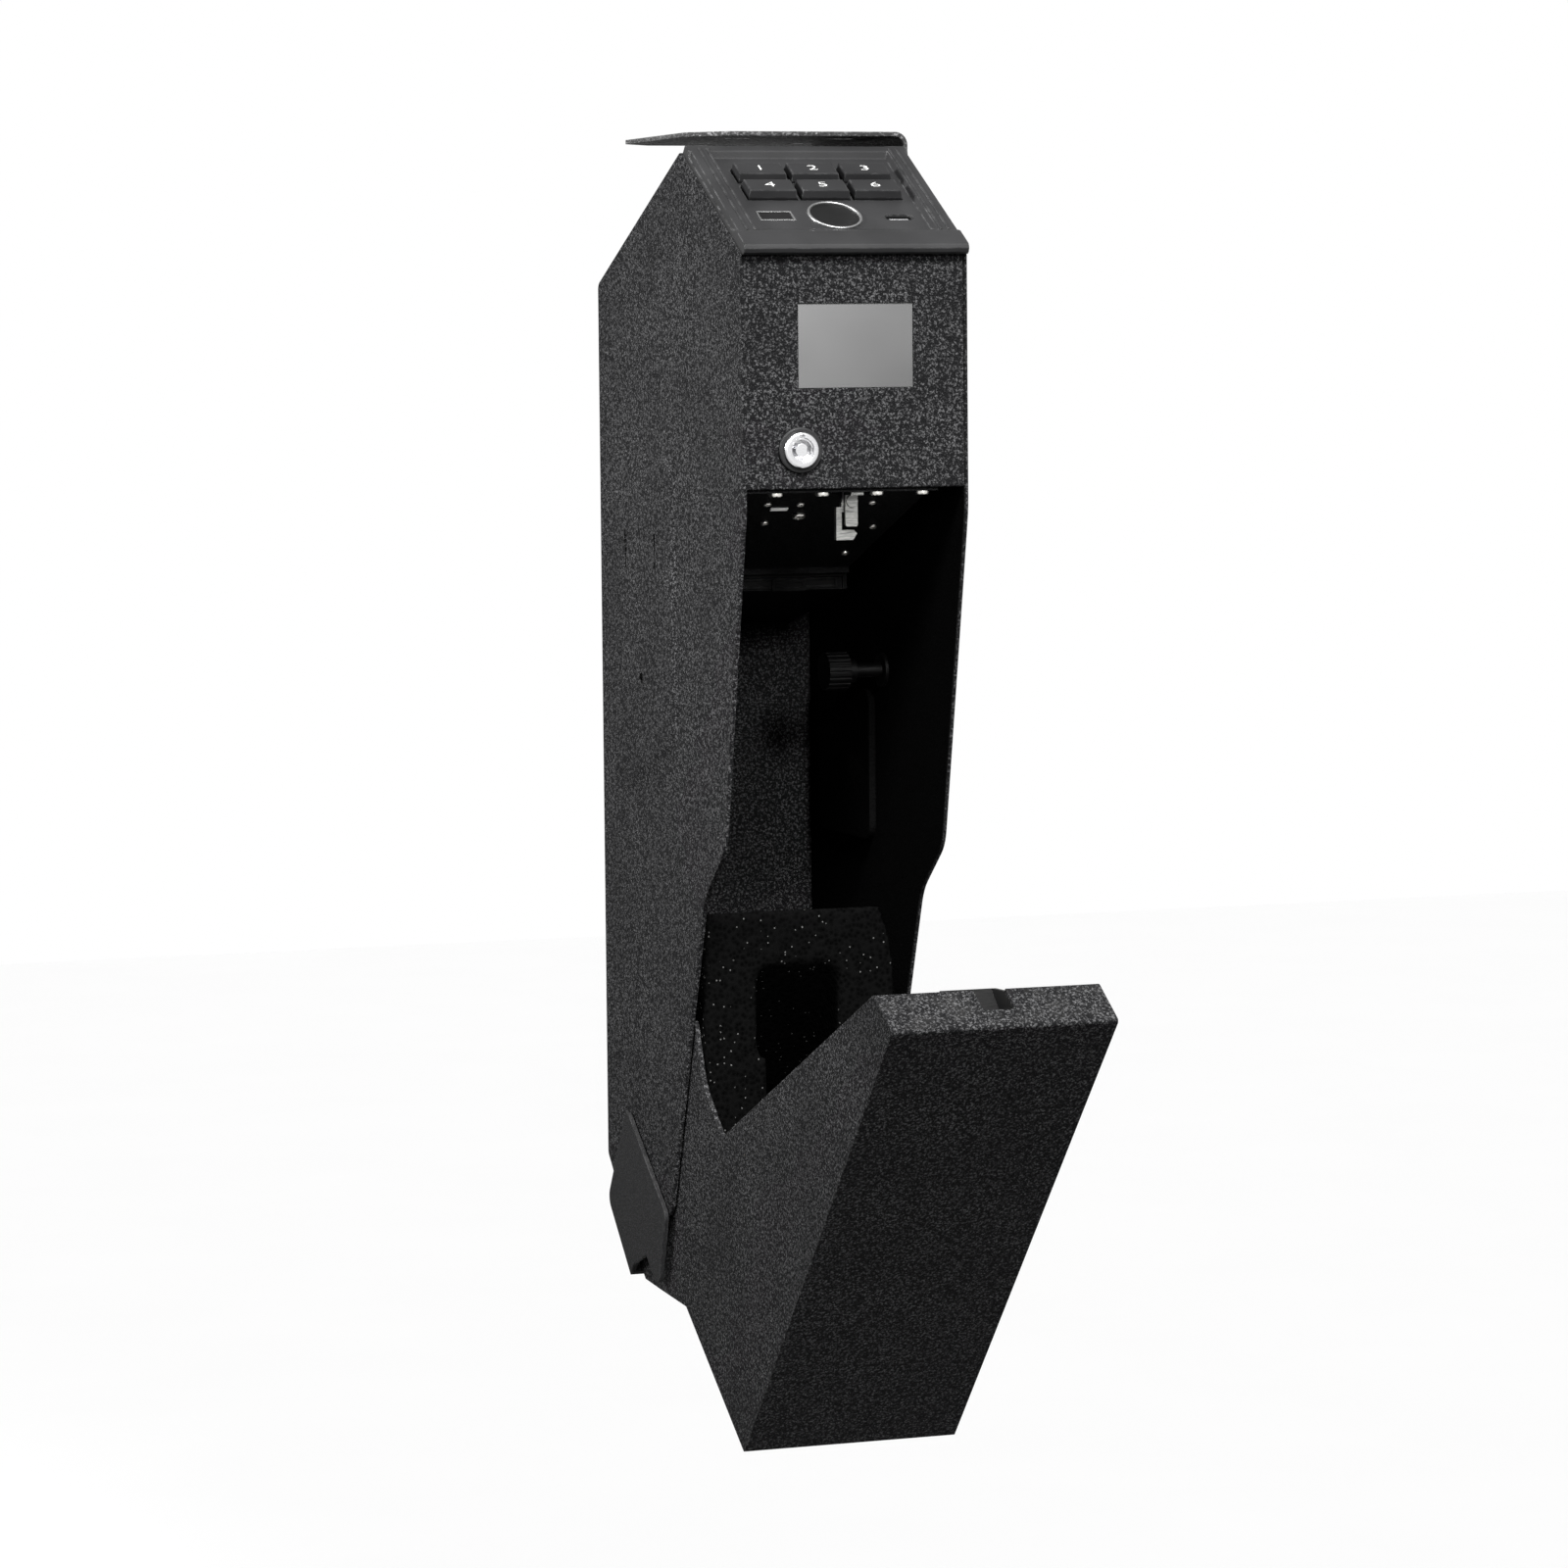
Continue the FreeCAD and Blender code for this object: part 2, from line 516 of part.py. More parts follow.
def battery_compartment():
    """Wedge-shaped cell box behind the tray, with a hinged lid for its sloping underside."""
    front, rear, wall = BATTERY_FRONT_Y, BATTERY_REAR_Y, BATTERY_WALL
    profile = [(front, BATTERY_TOP_Z), (rear, BATTERY_TOP_Z), (rear, battery_under(rear)),
               (front, battery_under(front))]
    inside_top = BATTERY_TOP_Z - wall
    hollow = [(front + wall, inside_top), (rear - wall, inside_top), (rear - wall, BELOW_BATTERY_Z),
              (front + wall, BELOW_BATTERY_Z)]
    shell = plate(profile, BATTERY_LEFT, BATTERY_RIGHT)
    shell = shell.cut(plate(hollow, BATTERY_LEFT + wall, BATTERY_RIGHT - wall))
    shell = shell.cut(box(BATTERY_LEFT + wall, BATTERY_RIGHT - wall, front - 1, front + wall + 1,
                          BELOW_BATTERY_Z, MOUTH_TOP_Z))
    low_edge = battery_under(DIVIDER_REAR_Y) + DIVIDER_LIFT
    divider = [(front + DIVIDER_GAP, inside_top), (rear - wall, inside_top),
               (rear - wall, low_edge), (DIVIDER_REAR_Y, low_edge),
               (front + DIVIDER_GAP, battery_under(front) + DIVIDER_LIFT)]
    shell = shell.fuse(plate(divider, CELL_STOP_X, CELL_STOP_X + wall)).removeSplitter()
    pin_start, pin_length = BATTERY_LEFT + 0.4, BATTERY_RIGHT - BATTERY_LEFT - 0.8
    shell = shell.cut(rod((pin_start, LID_HINGE_Y, LID_HINGE_Z), X_AXIS,
                          LID_PIN_RADIUS + RUNNING_FIT, pin_length))
    add("battery_box", shell)

    lid_left = BATTERY_LEFT + wall + LID_CLEARANCE
    lid_right = BATTERY_RIGHT - wall - LID_CLEARANCE
    lip_y, thick = front + 0.2, LID_THICKNESS
    section = [(lip_y, LID_LIP_TOP_Z), (lip_y + thick, LID_LIP_TOP_Z),
               (lip_y + thick, battery_under(lip_y) + 1.2),
               (LID_HINGE_Y, battery_under(LID_HINGE_Y) + thick),
               (LID_HINGE_Y, battery_under(LID_HINGE_Y)), (lip_y, battery_under(lip_y))]
    lid = plate(section, lid_left, lid_right)
    barrel = rod((lid_left, LID_HINGE_Y, LID_HINGE_Z), X_AXIS, LID_BARREL_RADIUS,
                 lid_right - lid_left)
    pin = rod((pin_start + LID_CLEARANCE, LID_HINGE_Y, LID_HINGE_Z), X_AXIS, LID_PIN_RADIUS,
              pin_length - 2 * LID_CLEARANCE)
    frame = box(lid_left, 26.2, lip_y - 0.7, lip_y, -37.3, LID_LIP_TOP_Z)
    frame = frame.cut(box(lid_left - 1, 25.4, lip_y - 2, lip_y - 0.1, -36.6, -34.5))
    tab = box(2.1, 14.5, lip_y - 1.3, lip_y, -38.2, -34.2)
    tab = tab.cut(box(3.3, 13.3, lip_y - 3, lip_y - 0.8, -37.0, -35.4))
    add("battery_lid", lid.fuse([barrel, pin, frame, tab]).removeSplitter())

    cells, contacts = [], []
    start_x = BATTERY_LEFT + wall + CONTACT_LENGTH
    body_length = CELL_LENGTH - CELL_NOSE_LENGTH
    for i in range(4):
        y = CELL_FIRST_Y + i * CELL_PITCH
        z = battery_under(y) + thick + CELL_RADIUS + 0.65
        cell = rod((start_x, y, z), X_AXIS, CELL_RADIUS, body_length)
        nose = rod((start_x + body_length, y, z), X_AXIS, CELL_NOSE_RADIUS, CELL_NOSE_LENGTH)
        cells.append(cell.fuse(nose))
        contacts.append(tube((start_x - CONTACT_LENGTH, y, z), X_AXIS, 3.4, 2.4,
                             CONTACT_LENGTH))
    add("battery_cells", Part.makeCompound([c.removeSplitter() for c in cells]))
    add("battery_contacts", Part.makeCompound(contacts))


# ---------------------------------------------------------------- latch
def latch():
    """Hanging strap, sideways hook, pivot pin, and the solenoid that turns the hook."""
    strap = box(-0.5, 3.9, LATCH_Y - 2.2, LATCH_Y - 1.0, -13.0, TRAY_FRONT_Z)
    foot = box(-0.5, 3.9, LATCH_Y - 8.0, LATCH_Y - 1.0, TRAY_FRONT_Z - 1.2, TRAY_FRONT_Z)
    strap = strap.fuse(foot).removeSplitter()
    strap = strap.cut(rod((LATCH_X, LATCH_Y - 4, LATCH_Z), Y_AXIS, 1.5, 6))
    add("latch_strap", soften(strap, 0.8, lambda e: along(Y_AXIS)(e) and e.CenterOfMass.z < -12.9))
    outline_xz = [(-3.0, -6.5), (-1.3, -6.5), (-0.6, -2.4), (0.2, 8.0), (3.2, 8.0), (3.4, -2.4),
                  (3.4, -8.2), (-1.0, -8.2), (-1.0, -14.2), (3.2, -14.2), (4.4, -15.4),
                  (3.0, -17.6), (-3.0, -17.6)]
    corner = [vec(x, LATCH_Y, z) for x, z in outline_xz]
    hook = Part.Face(Part.makePolygon(corner + corner[:1])).extrude(vec(0, 2.0, 0))
    hook = hook.cut(rod((LATCH_X, LATCH_Y - 1, LATCH_Z), Y_AXIS, 1.5 + RUNNING_FIT, 5))
    add("latch_hook", hook)
    pin = rod((LATCH_X, LATCH_Y - 2.2, LATCH_Z), Y_AXIS, 1.5, 5.0)
    pin = pin.fuse(rod((LATCH_X, LATCH_Y - 3.0, LATCH_Z), Y_AXIS, 2.0, 0.8))
    add("latch_pivot_pin", pin.removeSplitter())
    arm_z = 6.2
    frame = box(9.5, 33.0, 8.0, 17.0, 1.0, 12.0)
    frame = frame.cut(rod((8, 12.5, arm_z), X_AXIS, 2.5 + RUNNING_FIT, 24))
    frame = frame.fuse(box(12.0, 30.0, 9.0, 16.0, 0.2, 1.0)).removeSplitter()
    add("release_solenoid", frame)
    plunger = rod((6.0, 12.5, arm_z), X_AXIS, 2.5, 19.0)
    fork = box(-2.2, 6.2, LATCH_Y - 1.6, LATCH_Y - 0.4, arm_z - 2.4, arm_z + 2.4)
    fork = fork.fuse(box(-2.2, 6.2, LATCH_Y + 2.4, LATCH_Y + 3.6, arm_z - 2.4, arm_z + 2.4))
    fork = fork.fuse(box(5.0, 6.2, LATCH_Y - 1.6, LATCH_Y + 3.6, arm_z - 2.4, arm_z + 2.4))
    add("solenoid_plunger", plunger.fuse(fork).removeSplitter())


# ---------------------------------------------------------------- door
def tub_floor_path():
    return [(0.0, DOOR_TOP_Z), (0.0, DOOR_BOTTOM_Z), (72.4, -233.8), (94.0, -252.0),
            (108.0, -263.6), (130.0, -265.0)]


def door_tub():
    """Deep folded door: front, top lip, floor and two side walls, drawn shut."""
    side = [(0.0, DOOR_TOP_Z, 1.2), (DOOR_LIP_DEPTH, DOOR_TOP_Z - LIP_DROP, 2),
            (86.0, -157.8, 5), (111.0, -160.0, 22), (134.0, -148.8, 3), (131.0, -240.0, 4),
            (130.0, -265.0), (108.0, -263.6), (94.0, -252.0), (72.4, -233.8),
            (0.0, DOOR_BOTTOM_Z, 1.2)]
    tub = plate(side, -DOOR_HALF, -DOOR_HALF + SHEET)
    tub = tub.fuse(plate(side, DOOR_HALF - SHEET, DOOR_HALF))
    wrap = folded_sheet(tub_floor_path(), SHEET, -DOOR_HALF, DOOR_HALF)
    lip = folded_sheet([(DOOR_LIP_DEPTH, DOOR_TOP_Z - LIP_DROP), (0.0, DOOR_TOP_Z)], SHEET,
                       -DOOR_HALF, DOOR_HALF)
    tub = tub.fuse([wrap, lip]).common(plate(side, -DOOR_HALF, DOOR_HALF)).removeSplitter()
    notch = box(-4.9, 6.1, 8.4, DOOR_LIP_DEPTH + 2, -12, 0)
    notch = soften(notch, 1.8, lambda e: along(Z_AXIS)(e) and e.CenterOfMass.y < 8.41)
    tub = tub.cut(notch)
    add_door("door_tub", tub)


def lip_under(y):
    """Height of the underside of the door's top lip at depth y, door shut."""
    slope = LIP_DROP / DOOR_LIP_DEPTH
    return DOOR_TOP_Z - slope * y - SHEET - 0.05


def striker():
    """Catch box under the notch in the top lip, with a steel tongue behind the hook."""
    pad = folded_sheet([(18.0, lip_under(18.0)), (4.0, lip_under(4.0))], SHEET, -20.0, -8.0)
    wall = [(5.0, lip_under(5.0)), (18.0, lip_under(18.0)), (30.0, -19.5), (30.0, -21.0),
            (5.0, -21.0)]
    catch = pad.fuse([plate(wall, -9.5, -8.0), plate(wall, 8.0, 9.5),
                      box(-9.5, 9.5, 5.0, 30.0, -21.0, -19.5)]).removeSplitter()
    add_door("striker_bracket", catch)
    tongue = box(-8.0, -3.9, LATCH_Y + 2.8, LATCH_Y + 4.6, -17.2, -10.0)
    tongue = soften(tongue, 0.8, lambda e: along(Y_AXIS)(e) and e.CenterOfMass.x > -4)
    foot = box(-8.0, -5.0, LATCH_Y + 2.8, 27.0, -19.5, -18.5).fuse(
        box(-8.0, 1.5, 23.0, 27.0, -19.5, -18.5))
    post = box(-8.0, -5.0, LATCH_Y + 2.8, LATCH_Y + 4.6, -18.5, -17.2)
    add_door("striker", tongue.fuse([foot, post]).removeSplitter())
    rivets = []
    down = vec(0, -LIP_DROP / DOOR_LIP_DEPTH, -1).normalize()
    for y in (6.5, 15.0):
        start = vec(-15.0, y, lip_under(y)) + down * SHEET
        rivets.append(Part.makeCylinder(1.7, 0.9, start, down))
    add_door("striker_rivets", Part.makeCompound(rivets))


def hinge_cradle():
    """U-shaped carrier: two ears outside the case and a web welded under the door floor."""
    ear = [(155, -225, 3), (101, -218, 4), (88, -245, 4), (106, -246.5, 3), (113, -261, 3),
           (112.5, -266.5), (148, -266.5, 5)]
    inner = HALF + EAR_GAP
    cradle = plate(ear, -inner - SHEET, -inner).fuse(plate(ear, inner, inner + SHEET))
    web = box(-inner - SHEET, inner + SHEET, 112.5, 142.0, -266.5, -265.0)
    cradle = cradle.fuse(web).removeSplitter()
    length = 2 * inner + SHEET
    cradle = cradle.cut(rod((-length / 2, HINGE_Y, HINGE_Z), X_AXIS, ROD_RADIUS, length))
    add_door("hinge_cradle", cradle)
    add_door("hinge_rod", rod((-length / 2, HINGE_Y, HINGE_Z), X_AXIS, ROD_RADIUS, length))


def hinge_furniture():
    bushes = []
    for side in (-1, 1):
        sleeve = tube((side * INSIDE, HINGE_Y, HINGE_Z), X_AXIS * side, BUSH_RADIUS,
                      ROD_RADIUS + RUNNING_FIT, SHEET)
        flange = tube((side * (INSIDE - 1.2), HINGE_Y, HINGE_Z), X_AXIS * side, 6.4,
                      ROD_RADIUS + RUNNING_FIT, 1.2)
        bushes.append(sleeve.fuse(flange).removeSplitter())
    add("hinge_bushes", Part.makeCompound(bushes))
    coils = []
    for x0 in (-36.0, 22.0):
        coils.append(tube((x0, HINGE_Y, HINGE_Z), X_AXIS, 5.2, ROD_RADIUS + 0.5, 14.0))
    add("door_springs", Part.makeCompound(coils))
    tie = box(-INSIDE, INSIDE, 155.4, CASE_DEPTH - SHEET, -240.0, -228.0)
    add("rear_tie_bar", tie)
    pads = []
    for x in (-30.0, 30.0):
        pad = rod((x, 155.4, -234.0), Y_AXIS * -1, 3.5, 2.2)
        pads.append(soften(pad, 0.7, lambda e: e.Length > 20 and e.CenterOfMass.y < 153.3))
    add("door_bumpers", Part.makeCompound(pads))


def foam():
    """Firm foam block that fills the back of the tub, with a hand-sized pocket."""
    slope = [(152.8, -115.6, 0.6), (52.0, -225.5, 3), (73.0, -231.5), (95.0, -249.8, 2),
             (109.0, -261.6, 3), (126.0, -262.4, 2), (127.5, -243.0, 8), (152.8, -228.0, 10)]
    block = plate(slope, -36.2, FOAM_RIGHT)
    turn_x, turn_y, turn_radius = FOAM_RIGHT - 35.0, 134.0, 35.0
    corner = box(turn_x, 60, turn_y, 170, -280, -90)
    corner = corner.cut(Part.makeCylinder(turn_radius, 200, vec(turn_x, turn_y, -285), Z_AXIS))
    block = block.cut(corner)
    pocket = soften(box(-17.2, 12.0, 118.0, 139.3, -236.0, -90.0), 3.0, along(Z_AXIS))
    barrel = soften(box(-13.9, 9.2, 64.0, 126.0, -222.0, -90.0), 3.0, along(Z_AXIS))
    add_door("foam_insert", block.cut(pocket.fuse(barrel).removeSplitter()))


# ---------------------------------------------------------------- mounting
def mounting_bracket():
    """L-shaped bracket: leg against the right wall, flange over the top."""
    outer_x = HALF + SHEET
    top_z = FLANGE_UNDER_Z + SHEET
    leg = box(HALF, outer_x, LEG_FRONT_Y, LEG_REAR_Y, LEG_BOTTOM_Z, top_z)
    flange = box(FLANGE_LEFT_X, outer_x, LEG_FRONT_Y, LEG_REAR_Y, FLANGE_UNDER_Z, top_z)
    bracket = leg.fuse(flange).removeSplitter()
    bracket = soften(bracket, 4.5, lambda e: along(Y_AXIS)(e) and e.CenterOfMass.x > outer_x - 0.01
                     and e.CenterOfMass.z > top_z - 0.01)
    bracket = soften(bracket, 3.0, lambda e: along(Y_AXIS)(e) and abs(e.CenterOfMass.x - HALF) < 0.01
                     and abs(e.CenterOfMass.z - FLANGE_UNDER_Z) < 0.01)
    chamfer = [e for e in bracket.Edges if along(Z_AXIS)(e) and e.CenterOfMass.x < FLANGE_LEFT_X + 0.1]
    bracket = bracket.makeChamfer(12.0, chamfer)
    corners = [e for e in bracket.Edges if along(X_AXIS)(e) and e.CenterOfMass.z < LEG_BOTTOM_Z + 0.1]
    bracket = bracket.makeFillet(8.0, corners)
    for x in (-12.0, 26.0):
        for y in (86.0, 128.0):
            bracket = bracket.cut(slot((x, y, FLANGE_UNDER_Z - 1), X_AXIS, 10.0, 4.6, Z_AXIS, 5))
    for y, z in bolt_places():
        bracket = bracket.cut(rod((HALF - 1, y, z), X_AXIS, BOLT_HOLE_RADIUS, 5))
    bracket = bracket.cut(rod((HALF - 1, THUMB_Y, THUMB_Z), X_AXIS, 2.5 + RUNNING_FIT, 5))
    add("mounting_bracket", bracket)


def thumb_screw():
    knob = rod((16.5, THUMB_Y, THUMB_Z), X_AXIS, 6.7, 8.1)
    for i in range(20):
        angle = math.radians(i * 18)
        groove = rod((15.0, THUMB_Y + 7.0 * math.cos(angle), THUMB_Z + 7.0 * math.sin(angle)),
                     X_AXIS, 0.6, 11.0)
        knob = knob.cut(groove)
    neck = rod((24.6, THUMB_Y, THUMB_Z), X_AXIS, 4.0, 3.0)
    shaft = rod((27.6, THUMB_Y, THUMB_Z), X_AXIS, 2.5, HALF + SHEET - 27.6)
    add("thumb_screw", knob.fuse([neck, shaft]).removeSplitter())
    add("thumb_washer", tube((INSIDE - 1.2, THUMB_Y, THUMB_Z), X_AXIS, 6.0, 2.55, 1.2))


side_panels()
front_panel()
rear_cover()
tray()
tray_fasteners()
display()
cam_lock()
keypad_bezel()
keys()
keypad_parts()
battery_compartment()
latch()
door_tub()
striker()
hinge_cradle()
hinge_furniture()
foam()
mounting_bracket()
thumb_screw()

os.makedirs("parts", exist_ok=True)
for name, shape in NODES.items():
    placed = shape.copy()
    placed.translate(ORIGIN * -1)
    if not placed.isValid() or placed.Volume <= 0:
        print("BAD SHAPE", name, placed.isValid(), placed.Volume)
    placed.exportStep("parts/%s.step" % name)
print(len(NODES), "nodes")
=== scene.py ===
"""Wall safe with a drop-down door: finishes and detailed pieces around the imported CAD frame."""

import logging
import math
from dataclasses import dataclass, field
from enum import Enum
from typing import Callable, Optional

import bmesh
import bpy
from mathutils import Matrix, Vector


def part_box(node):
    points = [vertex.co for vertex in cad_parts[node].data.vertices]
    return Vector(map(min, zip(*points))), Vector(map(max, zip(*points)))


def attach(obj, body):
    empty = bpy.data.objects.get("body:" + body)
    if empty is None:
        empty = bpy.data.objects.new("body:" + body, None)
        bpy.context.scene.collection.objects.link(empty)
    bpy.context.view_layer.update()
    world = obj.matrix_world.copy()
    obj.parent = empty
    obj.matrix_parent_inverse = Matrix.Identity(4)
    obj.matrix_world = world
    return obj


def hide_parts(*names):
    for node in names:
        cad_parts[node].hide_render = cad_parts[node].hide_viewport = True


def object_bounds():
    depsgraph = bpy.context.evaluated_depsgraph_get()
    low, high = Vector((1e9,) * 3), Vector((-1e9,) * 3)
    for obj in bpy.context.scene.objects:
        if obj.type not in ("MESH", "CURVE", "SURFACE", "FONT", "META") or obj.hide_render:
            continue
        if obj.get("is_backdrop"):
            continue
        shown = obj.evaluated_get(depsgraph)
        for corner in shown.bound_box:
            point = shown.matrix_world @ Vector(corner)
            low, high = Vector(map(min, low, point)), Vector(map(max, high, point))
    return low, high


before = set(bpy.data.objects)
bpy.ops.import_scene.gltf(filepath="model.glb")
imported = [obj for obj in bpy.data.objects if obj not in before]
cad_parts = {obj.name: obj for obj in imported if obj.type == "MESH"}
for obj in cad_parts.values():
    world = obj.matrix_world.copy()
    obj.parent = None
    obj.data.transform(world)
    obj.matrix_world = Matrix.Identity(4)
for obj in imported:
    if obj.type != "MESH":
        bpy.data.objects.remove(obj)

LOG = logging.getLogger("wall_safe")
MM = 0.001
# Places on the case are in millimetres from the lower front edge of the front panel, at mid-width;
# the row frame's origin is this far from there.
CASE_ORIGIN = Vector((41.5, 115.0, -100.0)) * MM
HINGE = Vector((0.0, 141.3, -255.4)) * MM - CASE_ORIGIN
DECK_FRONT = Vector((0.0, 0.0, 78.0)) * MM - CASE_ORIGIN
DECK_ANGLE = math.atan2(35.5, 62.6)
KEY_NUMBERS = range(1, 7)
KEYS_IN_ROW = 3
# A little less than the side panel's sheet, so that the painted shade covers its inner face and
# darkens its cut edges.
PANEL_DEPTH = 1.4 * MM


def grey(value: float) -> tuple[float, float, float]:
    """Return an even grey of that linear brightness."""
    return (value, value, value)


# Near-black for the painted shade in narrow gaps and recesses.
PAINTED_SHADE_BLACK = grey(0.0002)


def place(x: float, y: float, z: float) -> Vector:
    """Turn a place in case millimetres into the row frame.

    Args:
        x: distance to the right of the case's centre plane.
        y: distance behind the front face.
        z: height above the lower edge of the upper front panel.

    Returns:
        The point in metres in the frame of the CAD nodes.
    """
    return Vector((x, y, z)) * MM - CASE_ORIGIN


def deck_place(u: float, v: float, w: float) -> Vector:
    """Turn keypad deck millimetres (across, up the slope, out of it) into the row frame.

    Args:
        u: distance to the right of the centre line.
        v: distance up the slope from the front edge.
        w: height out of the sheet.

    Returns:
        The point in metres in the frame of the CAD nodes.
    """
    turn = Matrix.Rotation(DECK_ANGLE, 3, "X")
    return DECK_FRONT + turn @ (Vector((u, v, w)) * MM)


def deck_seat(u: float, v: float, w: float) -> Matrix:
    """Return the transform that lays a piece flat on the keypad deck at that place."""
    return Matrix.Translation(deck_place(u, v, w)) @ Matrix.Rotation(DECK_ANGLE, 4, "X")


# ------------------------------------------------------------------ modelling helpers
def clear_selection() -> None:
    """Leave edit mode and deselect everything, the CAD nodes included."""
    if bpy.context.object and bpy.context.object.mode != "OBJECT":
        bpy.ops.object.mode_set(mode="OBJECT")
    bpy.ops.object.select_all(action="DESELECT")


def activate(piece: bpy.types.Object) -> None:
    """Make one object the only selected and active one."""
    clear_selection()
    piece.select_set(True)
    bpy.context.view_layer.objects.active = piece


def take_new(name: str) -> bpy.types.Object:
    """Name the primitive that was just added and return it."""
    piece = bpy.context.active_object
    piece.name = name
    piece.data.name = name
    return piece


def settle(piece: bpy.types.Object) -> bpy.types.Object:
    """Move a finished piece's place, turn and scale into its mesh."""
    activate(piece)
    bpy.ops.object.transform_apply(location=True, rotation=True, scale=True)
    return piece


def apply_modifiers(piece: bpy.types.Object) -> None:
    """Apply every modifier on a piece in order."""
    activate(piece)
    for modifier in list(piece.modifiers):
        bpy.ops.object.modifier_apply(modifier=modifier.name)


def select_faces(piece: bpy.types.Object, chooser: Callable[[bmesh.types.BMFace], bool]) -> None:
    """Enter edit mode with only the chosen faces selected.

    Args:
        piece: the mesh object.
        chooser: says whether a face is picked, from its place or normal.
    """
    activate(piece)
    bpy.ops.object.mode_set(mode="EDIT")
    bpy.ops.mesh.select_mode(type="FACE")
    bpy.ops.mesh.select_all(action="DESELECT")
    mesh = bmesh.from_edit_mesh(piece.data)
    for face in mesh.faces:
        face.select = chooser(face)
    bmesh.update_edit_mesh(piece.data)


def leave_edit() -> None:
    """Return to object mode."""
    bpy.ops.object.mode_set(mode="OBJECT")


def weld(piece: bpy.types.Object, gap: float) -> None:
    """Merge the points of a piece that lie within a gap of each other."""
    activate(piece)
    bpy.ops.object.mode_set(mode="EDIT")
    bpy.ops.mesh.select_all(action="SELECT")
    bpy.ops.mesh.remove_doubles(threshold=gap)
    leave_edit()


def join_copies(first: bpy.types.Object, places: list[Matrix], name: str) -> bpy.types.Object:
    """Copy one modelled piece to several places and join the copies.

    Args:
        first: the modelled piece, at the origin; it is used up.
        places: where each copy goes.
        name: the joined piece's name.

    Returns:
        The joined piece, at the origin with its places in its mesh.
    """
    copies = []
    for spot in places:
        twin = first.copy()
        twin.data = first.data.copy()
        twin.data.transform(spot)
        bpy.context.scene.collection.objects.link(twin)
        copies.append(twin)
    bpy.data.objects.remove(first)
    clear_selection()
    for twin in copies:
        twin.select_set(True)
    bpy.context.view_layer.objects.active = copies[0]
    bpy.ops.object.join()
    return take_new(name)


def smooth(piece: bpy.types.Object, angle_deg: float) -> None:
    """Shade a piece smooth except over edges sharper than an angle."""
    activate(piece)
    bpy.ops.object.shade_smooth_by_angle(angle=math.radians(angle_deg))


